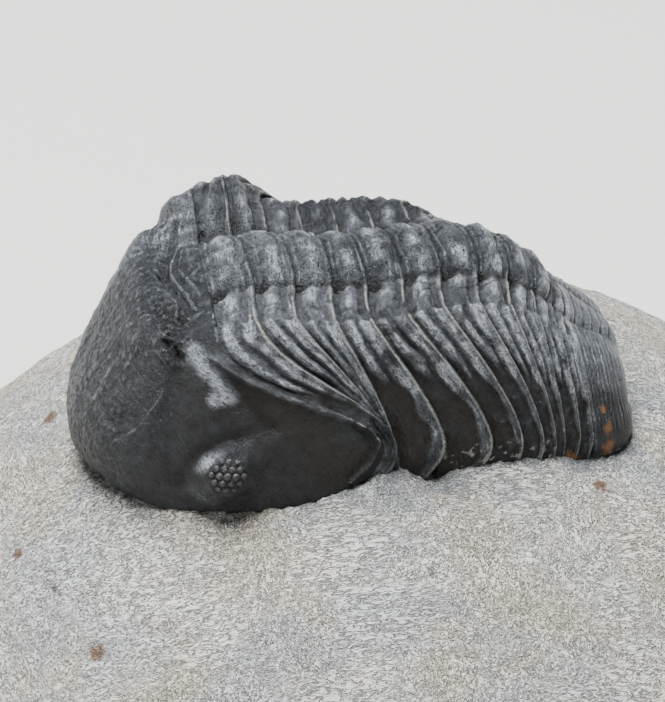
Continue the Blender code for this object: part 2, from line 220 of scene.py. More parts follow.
def vault(v, u):
    """Points of the smooth vault: u is -1 at the near margin, 0 at the crest, 1 at the far one."""
    v = np.asarray(v, float)
    u = np.asarray(u, float)
    crest_x, crest_z, fall, shoulder, margin_x, half_width = station(v)
    side = np.where(u < 0, -1.0, 1.0)
    flat = flat_share(shoulder)
    inner = np.minimum(np.abs(u) / flat, 1)
    turn = np.clip((np.abs(u) - flat) / (1 - flat), 0, 1) * math.pi / 2
    drop = 1 - np.cos(turn)
    margin_z = dome(margin_x, side * half_width) - EMBEDDED_DEPTH
    shoulder_z = crest_z - fall * inner ** 2
    y = shoulder * inner + (half_width - shoulder) * np.sin(turn)
    x = crest_x + (margin_x - crest_x) * sweep(drop, v)
    z = shoulder_z + (margin_z - shoulder_z) * drop
    on_far_shoulder = smooth((side * y - 2.5) / 5) * (1 - smooth(drop / 0.5))
    z = z + eased(v, FAR_RISE) * on_far_shoulder
    end = (v <= 0) | (v >= TAIL_END)
    x = np.where(end, margin_x, x)
    z = np.where(end, margin_z, z)
    return np.stack([x, side * y, z], axis=-1)


def outward(v, u):
    """Unit vectors that point out of the vault."""
    step = 0.02
    back = vault(np.minimum(v + step, TAIL_END), u) - vault(np.maximum(v - step, 0), u)
    across = vault(v, np.minimum(u + step, 1)) - vault(v, np.maximum(u - step, -1))
    normal = np.cross(back, across)
    length = np.linalg.norm(normal, axis=-1, keepdims=True)
    ends = np.zeros_like(normal)
    ends[..., 0] = np.where(v < TAIL_END / 2, -1, 1)
    return np.where(length > 1e-6, normal / np.maximum(length, 1e-6), ends)


# the axis: how high it arches over the vault, and its half width, by station
AXIS_RISE = ((7, 1.0), (9, 1.3), (12, 1.4), (14, 1.2), (15, 0.95), (17, 0.7), (19, 0.4), (21, 0.2),
             (23, 0.05))
AXIS_HALF_WIDTH = ((7, 4.1), (9, 3.8), (14, 3.7), (19, 2.9), (22, 1.6), (23, 1.0))


def axis_dome(v, y):
    """The arch of the axis over the vault."""
    half_axis = eased(v, AXIS_HALF_WIDTH)
    return eased(v, AXIS_RISE) * np.clip(1 - (y / half_axis) ** 2, 0, 1)


print("the animal is", round(STATIONS[-1, 0] - STATIONS[:, 0].min(), 1), "mm long and",
      round(2 * STATIONS[:, 5].max(), 1), "mm wide")

# %% [markdown]
# ## Laying sheets on the vault
#
# Each hard part of the animal starts as a plain grid. Its vertices move to places on the
# vault, raised or sunk by the relief of that part. The same step stores marks on the vertices:
# how pale the shell is there from wear and from painted highlights, how dark from painted shade,
# and how polished it is. The materials read these marks, so the pale wear and painted highlights
# lie on the crests and the painted shade in the recesses, whatever side the animal is seen from.

# %% A grid moved onto a table of points
MARKS = ("wear_and_highlight", "shade_and_dust", "facet", "rough", "edge")


def grid_mesh(name, points, marks, lay):
    """A grid whose vertices take their places, marks and lay from tables of rows and columns."""
    rows, columns = points.shape[:2]
    bm = bmesh.new()
    bmesh.ops.create_grid(bm, x_segments=columns - 1, y_segments=rows - 1, size=1)
    mesh = bpy.data.meshes.new(name)
    bm.to_mesh(mesh)
    bm.free()
    place = np.empty(len(mesh.vertices) * 3, np.float32)
    mesh.vertices.foreach_get("co", place)
    place = place.reshape(-1, 3)
    column = np.rint((place[:, 0] + 1) / 2 * (columns - 1)).astype(int)
    row = np.rint((place[:, 1] + 1) / 2 * (rows - 1)).astype(int)
    mesh.vertices.foreach_set("co", in_frame(points[row, column]).astype(np.float32).ravel())
    for mark in MARKS:
        layer = mesh.attributes.new(mark, "FLOAT", "POINT")
        layer.data.foreach_set("value", marks[mark][row, column].astype(np.float32))
    layer = mesh.attributes.new("lay", "FLOAT_VECTOR", "POINT")
    layer.data.foreach_set("vector", lay[row, column].astype(np.float32).ravel())
    return mesh


def weld(mesh, distance=1e-6):
    """Merge the rows that meet in one point, and smooth the shading."""
    bm = bmesh.new()
    bm.from_mesh(mesh)
    bmesh.ops.remove_doubles(bm, verts=bm.verts[:], dist=distance)
    bmesh.ops.recalc_face_normals(bm, faces=bm.faces[:])
    for face in bm.faces:
        face.smooth = True
    bm.to_mesh(mesh)
    bm.free()


def add_piece(mesh, material, node):
    """Put a finished mesh in the scene, standing for a CAD node."""
    piece = bpy.data.objects.new(mesh.name, mesh)
    bpy.context.scene.collection.objects.link(piece)
    mesh.materials.append(material)
    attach(piece, "root")
    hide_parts(node)
    return piece


def slow_noise(points, size, seed):
    """Smooth noise from -1 to 1 at each point, with lumps of about the size in millimetres."""
    flat = points.reshape(-1, 3) / size + seed * 7.3
    values = [noise.noise(p) for p in flat.tolist()]
    return np.array(values).reshape(points.shape[:-1]) * 2


def lay_of(points, v):
    """Coordinates for grain that follows the ribs: along the body, and across it, in millimetres."""
    step = np.linalg.norm(np.diff(points, axis=1), axis=-1)
    across = np.concatenate([np.zeros((len(points), 1)), np.cumsum(step, axis=1)], axis=1)
    return np.stack([v * 3, across, np.zeros_like(across)], axis=-1)


# %% [markdown]
# ## Lines on the shell
#
# Furrows, ridges and small hollows follow paths. A path is a few places on the vault, each a
# station and a share of the way to the margin. The height falls off smoothly to both sides.

# %% Distance to a path, and the relief along it
def distance_to_path(points, path):
    """Distance from each point to a path given as stations and shares."""
    line = vault([v for v, u in path], [u for v, u in path])
    best = np.full(points.shape[:-1], np.inf)
    for a, b in zip(line[:-1], line[1:]):
        along = b - a
        share = np.clip((points - a) @ along / (along @ along), 0, 1)
        gap = np.linalg.norm(points - a - share[..., None] * along, axis=-1)
        best = np.minimum(best, gap)
    return best


def mirrored(path):
    """The same path on the far side."""
    return [(v, -u) for v, u in path]


def both_sides(points, path, width):
    """A bell along a path and along its mirror image."""
    return bell(distance_to_path(points, path), width) + bell(
        distance_to_path(points, mirrored(path)), width)

# %% [markdown]
# ## Shared effects for the materials
#
# The shell and its lenses share one grain, and the shell has streaks along its ribs. Each effect
# is a small node group that is made once, and gives only masks and values. The grain reads
# coordinates in millimetres, so a scale of 5 means five grains to a millimetre. The streaks read
# the lay that is stored on the shell, which runs along the body and across it.

# %% A short way to add nodes
def put(tree, kind, inputs=None, **settings):
    """Add a node, set its properties, and feed its inputs with values or other nodes' outputs."""
    made = tree.nodes.new(kind)
    for name, value in settings.items():
        setattr(made, name, value)
    for key, value in (inputs or {}).items():
        if isinstance(value, bpy.types.NodeSocket):
            tree.links.new(value, made.inputs[key])
        else:
            made.inputs[key].default_value = value
    return made


def math_node(tree, operation, a, b=0.0, clamp=False):
    """The output of a Math node with one or two inputs."""
    return put(tree, "ShaderNodeMath", {0: a, 1: b}, operation=operation, use_clamp=clamp).outputs[0]


def times(tree, a, b, clamp=False):
    """One value times another."""
    return math_node(tree, "MULTIPLY", a, b, clamp)


def plus(tree, a, b, clamp=False):
    """One value added to another."""
    return math_node(tree, "ADD", a, b, clamp)


def larger(tree, a, b):
    """The larger of two values."""
    return math_node(tree, "MAXIMUM", a, b)


def with_shares(tree, value, *parts):
    """A value, with a share of each other value added."""
    for other, share in parts:
        value = plus(tree, value, times(tree, other, share))
    return value


def between(tree, value, low, high):
    """0 below the low value, 1 above the high one, and smooth between them."""
    return put(tree, "ShaderNodeMapRange", {"Value": value, "From Min": low, "From Max": high},
               interpolation_type="SMOOTHSTEP").outputs["Result"]


def mixed(tree, share, a, b):
    """A colour mixed from a to b."""
    node = put(tree, "ShaderNodeMix", {0: share, 6: a, 7: b}, data_type="RGBA")
    return node.outputs[2]


def painted(tree, colour, mask, strength, paint):
    """A colour with a paint laid over it where the mask says."""
    return mixed(tree, times(tree, mask, strength), colour, paint)


def blended(tree, share, a, b):
    """A value blended from a to b."""
    return put(tree, "ShaderNodeMix", {0: share, 2: a, 3: b}, data_type="FLOAT").outputs[0]


def noise_node(tree, vector, scale, detail=3.0, roughness=0.6, distortion=0.0):
    """The value of a Noise Texture."""
    return put(tree, "ShaderNodeTexNoise", {"Vector": vector, "Scale": scale, "Detail": detail,
                                            "Roughness": roughness, "Distortion": distortion}).outputs["Fac"]


def stretched(tree, vector, scale, turn=(0, 0, 0)):
    """Coordinates turned and stretched, for strokes that run one way."""
    return put(tree, "ShaderNodeMapping", {"Vector": vector, "Scale": scale, "Rotation": turn}).outputs[0]


def millimetres(tree):
    """The object's coordinates in millimetres."""
    place = put(tree, "ShaderNodeTexCoord").outputs["Object"]
    return put(tree, "ShaderNodeVectorMath", {0: place, "Scale": 1000.0}, operation="SCALE").outputs[0]


def mark(tree, name):
    """One of the marks stored on the vertices."""
    return put(tree, "ShaderNodeAttribute", attribute_name=name).outputs["Fac"]


def new_material(name):
    """A material, its node tree and its Principled node."""
    material = bpy.data.materials.new(name)
    material.use_nodes = True
    return material, material.node_tree, material.node_tree.nodes["Principled BSDF"]


def cover(tree, shader, colour, height, distance):
    """Give a shader its colour, and bumps of the given depth in metres."""
    tree.links.new(colour, shader.inputs["Base Color"])
    bump = put(tree, "ShaderNodeBump", {"Height": height, "Distance": distance, "Strength": 1.0})
    tree.links.new(bump.outputs["Normal"], shader.inputs["Normal"])


def new_group(name, inputs, outputs):
    """An empty node group with its sockets, and its input and output nodes."""
    group = bpy.data.node_groups.new(name, "ShaderNodeTree")
    for socket, kind in inputs:
        group.interface.new_socket(socket, in_out="INPUT", socket_type=kind)
    for socket, kind in outputs:
        group.interface.new_socket(socket, in_out="OUTPUT", socket_type=kind)
    return group, put(group, "NodeGroupInput").outputs, put(group, "NodeGroupOutput").inputs


def use_group(tree, group, inputs):
    """The outputs of a shared group in a material."""
    return put(tree, "ShaderNodeGroup", inputs, node_tree=group).outputs


# %% Grain and streaks
VECTOR = "NodeSocketVector"
FLOAT = "NodeSocketFloat"

grain_group, given, result = new_group("shell_grain", [("Vector", VECTOR)], [
    ("Fine", FLOAT), ("Middle", FLOAT), ("Broad", FLOAT), ("Flecks", FLOAT), ("Scratches", FLOAT)])
# grains to a millimetre, detail and roughness of each grain
for output, settings in (("Fine", (5.5, 3, 0.7)), ("Middle", (1.2, 4, 0.6)), ("Broad", (0.22, 2, 0.5))):
    grain_group.links.new(noise_node(grain_group, given["Vector"], *settings), result[output])
flecks = noise_node(grain_group, given["Vector"], 3.2, 4, 0.75, 0.4)
grain_group.links.new(between(grain_group, flecks, 0.64, 0.70), result["Flecks"])


def thin_lines(tree, vector, scale, width):
    """Lines that wander like scratches, where a noise crosses its middle."""
    value = noise_node(tree, vector, scale, 2, 0.6, 1.0)
    away = math_node(tree, "ABSOLUTE", math_node(tree, "SUBTRACT", value, 0.5))
    return math_node(tree, "SUBTRACT", 1.0, between(tree, away, 0.25 * width, width))


coarse_lines = thin_lines(grain_group, given["Vector"], 1.9, 0.03)
fine_lines = thin_lines(grain_group, given["Vector"], 4.0, 0.06)
lines = larger(grain_group, coarse_lines, times(grain_group, fine_lines, 0.75))
grain_group.links.new(lines, result["Scratches"])

streak_group, given, result = new_group("rib_streaks", [("Lay", VECTOR)], [
    ("Streaks", FLOAT), ("Hairs", FLOAT), ("Strokes", FLOAT)])
wide = stretched(streak_group, given["Lay"], (2.2, 0.5, 1))
thin = stretched(streak_group, given["Lay"], (6.0, 0.9, 1))
streak_group.links.new(noise_node(streak_group, wide, 1.0, 4, 0.65, 0.3), result["Streaks"])
streak_group.links.new(noise_node(streak_group, thin, 1.0, 3, 0.6, 0.2), result["Hairs"])
long_lines = thin_lines(streak_group, stretched(streak_group, given["Lay"], (2.6, 0.9, 1)), 1.0, 0.042)
short_lines = thin_lines(streak_group, stretched(streak_group, given["Lay"], (4.5, 2.0, 1)), 1.0, 0.050)
strokes = larger(streak_group, long_lines, times(streak_group, short_lines, 0.8))
streak_group.links.new(strokes, result["Strokes"])
print("node groups:", [group.name for group in bpy.data.node_groups])

# %% [markdown]
# ## The shell, turned to black calcite
#
# The shell is dark grey and a little glossy. Where the crests are rubbed it is paler, and painted
# highlights make it paler still where the lamp would glint on the rings, blocks and rib crests, in
# patches, flecks and scratches that run along the ribs. The facets are brown, and painted shade
# makes the deep places almost black. The marks on the vertices say where, and the groups above
# break them up into grain.

# %% Material of the shell
DARK_GREY = (0.0075, 0.0085, 0.0100, 1)
MID_GREY = (0.024, 0.027, 0.032, 1)
FACET_BROWN = (0.017, 0.0125, 0.008, 1)
SHEEN_AND_WEAR_GREY = (0.028, 0.034, 0.042, 1)
HIGHLIGHT_AND_WEAR_GREY = (0.094, 0.109, 0.131, 1)
SCRATCH_AND_GLINT_PALE = (0.62, 0.66, 0.71, 1)
EDGE_PALE = (0.28, 0.28, 0.26, 1)
PAINTED_SHADE_BROWN = (0.010, 0.008, 0.006, 1)
RUST_ORANGE = (0.30, 0.13, 0.045, 1)
# rust low on the tail: station, share of the way to the margin, and size in millimetres
SHELL_RUST = ((17.30, -0.985, 0.75), (19.95, -0.94, 0.65), (20.0, -0.85, 0.55), (19.9, -0.76, 0.35))
FAINT_SCRATCHES = 0.012
# where wear, painted highlight and grain together begin to show as a pale patch, and where it is full
PATCH_LIMITS = (1.90, 2.55)
SHELL_ROUGHNESS = 0.20
SHELL_SHEEN = 0.28
SHELL_BUMP = 0.00026


def scaled(tree, colour, value):
    """A colour made lighter or darker by a value."""
    return put(tree, "ShaderNodeVectorMath", {0: colour, "Scale": value}, operation="SCALE").outputs[0]


def spot_mask(tree, place, wobble, middle, size):
    """A ragged round spot about a place, in millimetres."""
    centre = tuple(float(c) for c in np.array(middle) + TO_FRAME)
    gap = put(tree, "ShaderNodeVectorMath", {0: place, 1: centre}, operation="DISTANCE").outputs["Value"]
    ragged = plus(tree, gap, times(tree, wobble, -1.6 * size))
    return math_node(tree, "SUBTRACT", 1.0, between(tree, ragged, -0.35 * size, 0.35 * size))


def shell_material(name):
    """Dark shell, pale with wear and painted highlights where the marks say, with scratches and glints,
    painted brown shade in the recesses, and rust.
    """
    material, tree, shader = new_material(name)
    place = millimetres(tree)
    grain = use_group(tree, grain_group, {"Vector": place})
    lay = put(tree, "ShaderNodeAttribute", attribute_name="lay").outputs["Vector"]
    streaks = use_group(tree, streak_group, {"Lay": lay})
    wear_and_highlight, shade_and_dust, facet, rough, edge = (mark(tree, each) for each in MARKS)
    colour = mixed(tree, between(tree, grain["Middle"], 0.3, 0.7), DARK_GREY, MID_GREY)
    brown = times(tree, facet, between(tree, grain["Broad"], 0.3, 0.6))
    colour = painted(tree, colour, brown, 0.85, FACET_BROWN)
    colour = scaled(tree, colour, times(tree, grain["Fine"], 2.0))
    # a soft grey lift from wear and painted sheen
    soft = between(tree, with_shares(tree, wear_and_highlight, (grain["Middle"], 0.5)), 0.3, 0.9)
    colour = painted(tree, colour, soft, between(tree, streaks["Hairs"], 0.1, 0.7), SHEEN_AND_WEAR_GREY)
    spread = with_shares(tree, wear_and_highlight, (grain["Middle"], 1.1), (streaks["Streaks"], 1.0),
                         (streaks["Hairs"], 0.6))
    # pale patches of wear and painted highlight, where the lamp would glint
    highlight_and_wear_patch = between(tree, spread, *PATCH_LIMITS)
    grainy = times(tree, highlight_and_wear_patch, between(tree, streaks["Hairs"], 0.36, 0.62))
    colour = mixed(tree, grainy, colour, HIGHLIGHT_AND_WEAR_GREY)
    # scratches, and painted glints along the lines inside the highlight patches
    scratches_and_glints = plus(tree, highlight_and_wear_patch, times(tree, soft, 0.28), True)
    scratches_and_glints = larger(tree, scratches_and_glints, times(tree, rough, 0.07))
    scratches_and_glints = larger(tree, scratches_and_glints, FAINT_SCRATCHES)
    drawn = larger(tree, streaks["Strokes"], times(tree, grain["Scratches"], 0.8))
    scratches_and_glints = times(tree, scratches_and_glints, drawn)
    colour = painted(tree, colour, scratches_and_glints, 0.75, SCRATCH_AND_GLINT_PALE)
    rim = with_shares(tree, edge, (grain["Fine"], 1.2))
    colour = mixed(tree, between(tree, rim, 0.90, 1.35), colour, EDGE_PALE)
    # painted shade in the recesses
    colour = painted(tree, colour, shade_and_dust, 0.55, PAINTED_SHADE_BROWN)
    fleck = times(tree, grain["Flecks"], plus(tree, rough, 0.10), True)
    colour = painted(tree, colour, fleck, 0.55, SCRATCH_AND_GLINT_PALE)
    for v, u, size in SHELL_RUST:
        rust = spot_mask(tree, place, grain["Middle"], vault([v], [u])[0], size)
        colour = painted(tree, colour, rust, 0.7, RUST_ORANGE)
    matt = with_shares(tree, SHELL_ROUGHNESS, (grain["Middle"], 0.22))
    tree.links.new(matt, shader.inputs["Roughness"])
    shader.inputs["Specular IOR Level"].default_value = SHELL_SHEEN
    height = with_shares(tree, times(tree, grain["Fine"], plus(tree, rough, 0.5)),
                         (streaks["Hairs"], 0.4), (grain["Middle"], 0.6), (scratches_and_glints, 0.25))
    cover(tree, shader, colour, height, SHELL_BUMP)
    return material


fossil_shell = shell_material("black_calcite_shell")

# %% Material of the lenses
LENS_GREY = (0.095, 0.098, 0.10, 1)
LENS_DARK = (0.016, 0.016, 0.017, 1)
LENS_ROUGHNESS = 0.38


def lens_material():
    """Grey lenses with the shell's own grain, at half its depth."""
    material, tree, shader = new_material("lens_calcite")
    grain = use_group(tree, grain_group, {"Vector": millimetres(tree)})
    colour = mixed(tree, between(tree, grain["Fine"], 0.35, 0.7), LENS_DARK, LENS_GREY)
    shader.inputs["Roughness"].default_value = LENS_ROUGHNESS
    cover(tree, shader, colour, grain["Fine"], SHELL_BUMP * 0.5)
    return material


lens_calcite = lens_material()

# %% [markdown]
# ## The limestone
#
# The stone is pale and fine. The scribe has left short strokes all over it, which run along the
# foot of the fossil and in other directions further out, over a crust of tiny worm-like
# grains. A grey tint of dust and shell lies close to the animal, with a painted shadow of the
# animal in it, and a few spots of rust are scattered about. Two stretched noises, each shown where
# a broad noise lets it, make strokes that change direction.

# %% Material of the stone
STONE_PALE = (0.90, 0.89, 0.83, 1)
STONE_WARM = (0.86, 0.80, 0.66, 1)
STONE_COOL = (0.74, 0.77, 0.79, 1)
STONE_LINE = (0.13, 0.13, 0.12, 1)
MOAT_DUST_AND_SHADOW_GREY = (0.22, 0.245, 0.27, 1)
RUST = (0.17, 0.075, 0.03, 1)
DARK_SPOT = (0.10, 0.10, 0.10, 1)
STONE_ROUGHNESS = 0.85
STONE_SHEEN = 0.3
STONE_BUMP = 0.0007
# how the noise is stretched and turned for each way that the scribe's strokes run
LEVEL_STROKES = ((0.9, 3.2, 3.2), (0, 0, math.radians(-8)))
SLANT_STROKES = ((3.0, 1.2, 3.0), (0, 0, math.radians(35)))
# where they are on the dome in plan, and how big, in millimetres from the back of the animal
RUST_SPOTS = ((-21.8, 7.2, 0.75), (-25.3, -5.7, 0.6), (-20.7, -17.0, 0.8), (15.9, -11.8, 0.6))
DARK_SPOTS = ((2.5, -19.3, 0.45), (-23.0, -10.8, 0.4))


def stone_material():
    """Pale stone with a crust of grains, two ways of strokes, a grey moat of dust and painted shadow, and a
    few spots.
    """
    material, tree, shader = new_material("limestone_scribed")
    place = millimetres(tree)
    worms = noise_node(tree, place, 2.4, 3, 0.6, 0.9)
    crust = thin_lines(tree, place, 2.7, 0.085)
    level, slant = (thin_lines(tree, stretched(tree, place, *strokes), 1.0, 0.08)
                    for strokes in (LEVEL_STROKES, SLANT_STROKES))
    region = noise_node(tree, place, 0.11, 2)
    shade = blended(tree, between(tree, region, 0.44, 0.52), level, crust)
    shade = blended(tree, between(tree, region, 0.54, 0.62), shade, slant)
    fine = noise_node(tree, place, 6.0, 3, 0.7)
    broad = noise_node(tree, place, 0.12, 3, 0.55)
    cool = noise_node(tree, stretched(tree, place, (0.1, 0.16, 0.16)), 1.0, 3, 0.6)
    colour = mixed(tree, between(tree, broad, 0.40, 0.62), STONE_PALE, STONE_WARM)
    colour = painted(tree, colour, between(tree, cool, 0.46, 0.62), 0.8, STONE_COOL)
    uneven = noise_node(tree, place, 1.5, 3, 0.65)
    lightness = put(tree, "ShaderNodeMapRange", {
        "Value": uneven, "From Min": 0.3, "From Max": 0.7, "To Min": 0.84, "To Max": 1.09})
    colour = scaled(tree, colour, lightness.outputs["Result"])
    broken = times(tree, shade, between(tree, fine, 0.30, 0.55))
    colour = painted(tree, colour, broken, 0.95, STONE_LINE)
    # the grey moat is dust and a painted shadow of the animal on the stone
    moat = times(tree, mark(tree, "shade_and_dust"), between(tree, fine, 0.0, 0.6), True)
    colour = mixed(tree, moat, colour, MOAT_DUST_AND_SHADOW_GREY)
    for spots, paint in ((RUST_SPOTS, RUST), (DARK_SPOTS, DARK_SPOT)):
        for x, y, size in spots:
            spot = spot_mask(tree, place, worms, (x, y, dome(x, y)), size)
            colour = painted(tree, colour, spot, 0.85, paint)
    shader.inputs["Roughness"].default_value = STONE_ROUGHNESS
    shader.inputs["Specular IOR Level"].default_value = STONE_SHEEN
    height = math_node(tree, "SUBTRACT", times(tree, fine, 0.5), times(tree, shade, 0.5))
    cover(tree, shader, colour, height, STONE_BUMP)
    return material


limestone = stone_material()
print("materials:", [material.name for material in bpy.data.materials])

# %% [markdown]
# ## The head
#
# A phacopid's head is a thick helmet: a swollen glabella between two cheeks, an eye on each
# cheek, and a border that runs back into a rounded corner. On this one, the glabella's side
# furrows are worn to a rough hollow with a small node in it. It is laid on the vault as one
# fine sheet. The big forms are bells along paths, and the eye is a mound with steep sides.

# %% Lines and swellings of the head
# path, height over the vault in millimetres, half width
OCCIPITAL_FURROW = ([(6.75, 0.0), (6.82, -0.10), (7.05, -0.17), (7.38, -0.31)], -0.45, 0.4)
OCCIPITAL_RIDGE = ([(6.97, 0.0), (7.01, -0.05), (7.22, -0.153), (7.54, -0.304)], 0.16, 0.11)
SECOND_RIDGE = ([(7.24, 0.0), (7.30, -0.06), (7.48, -0.141), (7.77, -0.235)], 0.10, 0.10)
AXIAL_FURROW = ([(7.15, -0.40), (6.9, -0.45), (6.1, -0.55), (5.4, -0.575), (5.0, -0.60), (4.6, -0.645),
                 (4.25, -0.715), (3.9, -0.79)], -0.3, 0.9)
ROUGH_HOLLOW = ([(6.2, -0.21), (6.75, -0.30), (7.25, -0.40)], -0.5, 1.0)
LATERAL_NODE = ([(6.72, -0.27), (6.80, -0.32)], 0.75, 0.55)
NODE_RIM = ([(6.53, -0.258), (6.85, -0.216), (6.99, -0.27), (6.90, -0.348), (6.59, -0.377),
             (6.43, -0.319), (6.53, -0.258)], 0.22, 0.10)
SMALL_HOLLOW = ([(6.10, -0.46), (6.23, -0.505), (6.30, -0.535)], -0.36, 0.36)
HOLLOW_RIM = ([(5.88, -0.42), (5.80, -0.475), (5.98, -0.53), (6.27, -0.56)], 0.10, 0.28)
BORDER_FURROW = ([(7.45, -0.54), (7.18, -0.594), (6.93, -0.633), (6.54, -0.686), (6.40, -0.73),
                  (6.30, -0.765)], -0.38, 0.75)
FIXED_CHEEK = ([(7.0, -0.53), (6.5, -0.60), (6.1, -0.66)], 0.35, 1.3)
CHEEK_EDGE = ([(7.42, -0.60), (7.42, -0.659), (7.43, -0.714), (7.55, -0.756), (7.80, -0.782), (7.95, -0.805),
               (7.93, -0.832)], 0.16, 0.17)
FAN_LINES = tuple(([(top, -0.61), (top - 0.03, -0.68), (7.60 + 0.3 * (top - 7.5), -0.745)], 0.07, 0.075)
                  for top in (7.55, 7.66, 7.77, 7.88))
OUTER_RIM = ([(7.93, -0.40), (7.93, -0.60), (7.95, -0.72), (7.97, -0.80), (7.97, -0.835)], 0.12, 0.16)
CORNER_LINE = ([(7.97, -0.835), (7.80, -0.862), (7.55, -0.879), (7.32, -0.91), (6.99, -0.944)],
               0.25, 0.13)
CORNER_GROOVE = ([(7.80, -0.80), (7.60, -0.845), (7.30, -0.88), (6.95, -0.925)], -0.12, 0.3)
LOWER_BORDER = ([(1.5, -0.93), (3.0, -0.95), (4.5, -0.965), (6.5, -0.96)], 0.12, 0.5)
HEAD_FORMS = (OCCIPITAL_FURROW, OCCIPITAL_RIDGE, SECOND_RIDGE, AXIAL_FURROW, ROUGH_HOLLOW,
              LATERAL_NODE, NODE_RIM, SMALL_HOLLOW, HOLLOW_RIM, BORDER_FURROW, FIXED_CHEEK,
              CHEEK_EDGE, *FAN_LINES, OUTER_RIM, CORNER_LINE, CORNER_GROOVE, LOWER_BORDER)
# on the far side these are worn almost away
WORN_FORMS = (ROUGH_HOLLOW, LATERAL_NODE, NODE_RIM, SMALL_HOLLOW, HOLLOW_RIM)
FAR_HOLLOWS = 0.3
# thin pale veins that cross the glabella: they are worn, and hardly raised
GLABELLA_VEINS = ([(4.82, -0.28), (4.33, -0.277), (3.78, -0.277), (3.38, -0.302)],
                  [(5.30, -0.535), (5.15, -0.543), (4.56, -0.546), (3.98, -0.55), (3.15, -0.53)])
VEIN_HEIGHT = 0.02
VEIN_WIDTH = 0.07

# %% The eye's own axes on the cheek
EYE_PLACE = (4.83, -0.836)
EYE_LENGTH = 3.3
EYE_BREADTH = 2.3
EYE_RISE = 1.05
EYE_TILT = math.radians(12)
MOUND_MIDDLE = (0.7, -0.4)
# the lens field, in the eye's own axes
FIELD_MIDDLE = (1.35, -0.12)
FIELD_LENGTH = 1.32
FIELD_BREADTH = 1.05
FIELD_TILT = math.radians(-44)


def eye_axes(side):
    """The eye's middle, its long axis and its short axis, on the near (-1) or far (1) cheek."""
    v, u = EYE_PLACE[0], EYE_PLACE[1] * -side
    middle = vault([v], [u])[0]
    outside = outward(np.array([v]), np.array([u]))[0]
    back = vault([v + 0.05], [u])[0] - middle
    back = back - outside * (back @ outside)
    back = back / np.linalg.norm(back)
    up = np.cross(outside, back) * -side
    turn_cos, turn_sin = math.cos(EYE_TILT), math.sin(EYE_TILT)
    return middle, back * turn_cos + up * turn_sin, up * turn_cos - back * turn_sin, outside


def eye_shape(points, side):
    """Places on the eye: how far along and up from its middle, and how far out to its rim."""
    middle, along, up, outside = eye_axes(side)
    a = (points - middle) @ along
    b = (points - middle) @ up
    rim = np.hypot((a - MOUND_MIDDLE[0]) / EYE_LENGTH, (b - MOUND_MIDDLE[1]) / EYE_BREADTH)
    behind = np.abs((points - middle) @ outside) > 6
    return a, b, np.where(behind, 9.0, rim)


def field_share(a, b):
    """How far out in the lens field a place is: 0 in its middle and 1 at its edge."""
    x, y = a - FIELD_MIDDLE[0], b - FIELD_MIDDLE[1]
    along = x * math.cos(FIELD_TILT) + y * math.sin(FIELD_TILT)
    across = y * math.cos(FIELD_TILT) - x * math.sin(FIELD_TILT)
    return np.hypot(along / FIELD_LENGTH, across / FIELD_BREADTH)


def eye_relief(points, side):
    """The mound of one eye, with the lid over it and a narrow furrow round it."""
    a, b, rim = eye_shape(points, side)
    mound = EYE_RISE * smooth((1.12 - rim) / 1.05)
    lid = 0.28 * bell(np.hypot((a - 0.8) * 0.75, (b - 1.2) * 1.3), 0.8) * smooth((1.05 - rim) / 0.3)
    above = smooth((b - 0.2) / 1.2)
    furrow = 0.24 * above * bell(rim - 1.14, 0.16)
    step = 0.05 * bell(field_share(a, b) - 1.08, 0.12) * smooth((1.0 - rim) / 0.2)
    return mound + lid - furrow - step


print("the eye's middle is at", eye_axes(-1)[0].round(1))

# %% The relief of the head
ROUGH_CENTRE = [(6.35, -0.25), (6.9, -0.34), (6.25, -0.50)]


def head_relief(points, v):
    """Height over the vault everywhere on the head."""
    total = np.zeros(points.shape[:-1])
    for path, height, width in HEAD_FORMS:
        total = total + height * bell(distance_to_path(points, path), width)
        far_share = FAR_HOLLOWS if (path, height, width) in WORN_FORMS else 1
        total = total + far_share * height * bell(distance_to_path(points, mirrored(path)), width)
    for path in GLABELLA_VEINS:
        total = total + VEIN_HEIGHT * both_sides(points, path, VEIN_WIDTH)
    for side in (-1, 1):
        total = total + eye_relief(points, side)
    rough = bell(distance_to_path(points, ROUGH_CENTRE), 1.1)
    rough = rough + FAR_HOLLOWS * bell(distance_to_path(points, mirrored(ROUGH_CENTRE)), 1.5)
    total = total + rough * (0.16 * slow_noise(points, 0.38, 3) + 0.08 * slow_noise(points, 0.17, 4))
    upper = 1 - smooth((np.abs(points[..., 1]) - 6) / 4)
    grain = 0.06 * slow_noise(points, 1.6, 1) + 0.04 * slow_noise(points, 0.5, 2)
    grain = grain + 0.03 * slow_noise(points, 0.22, 5)
    total = total + grain * (0.35 + 0.65 * upper)
    ring = smooth((v - 7.15) / 0.5) * axis_dome(v, np.abs(points[..., 1]))
    return (total + ring) * smooth(v / 0.7)


# %% Lay the head
HEAD_ROWS = 250
NEAR_COLUMNS = 170
FAR_COLUMNS = 120
HEAD_LIP = ((8.03, 0.1), (8.05, -0.1), (8.03, -0.35), (7.9, -0.6), (7.0, -0.9), (4.0, -1.0), (1.2, -0.9))
MARGIN_START = 0.93


def body_columns(near, far):
    """Columns from the near margin to the far one. The outermost are gathered to a point."""
    return np.concatenate([[-1], np.linspace(-0.995, -0.004, near), np.linspace(0.004, 0.995, far), [1]])


def settle(u):
    """Relief fades where the shell goes into the stone."""
    return 1 - smooth((np.abs(u) - MARGIN_START) / (1 - MARGIN_START))


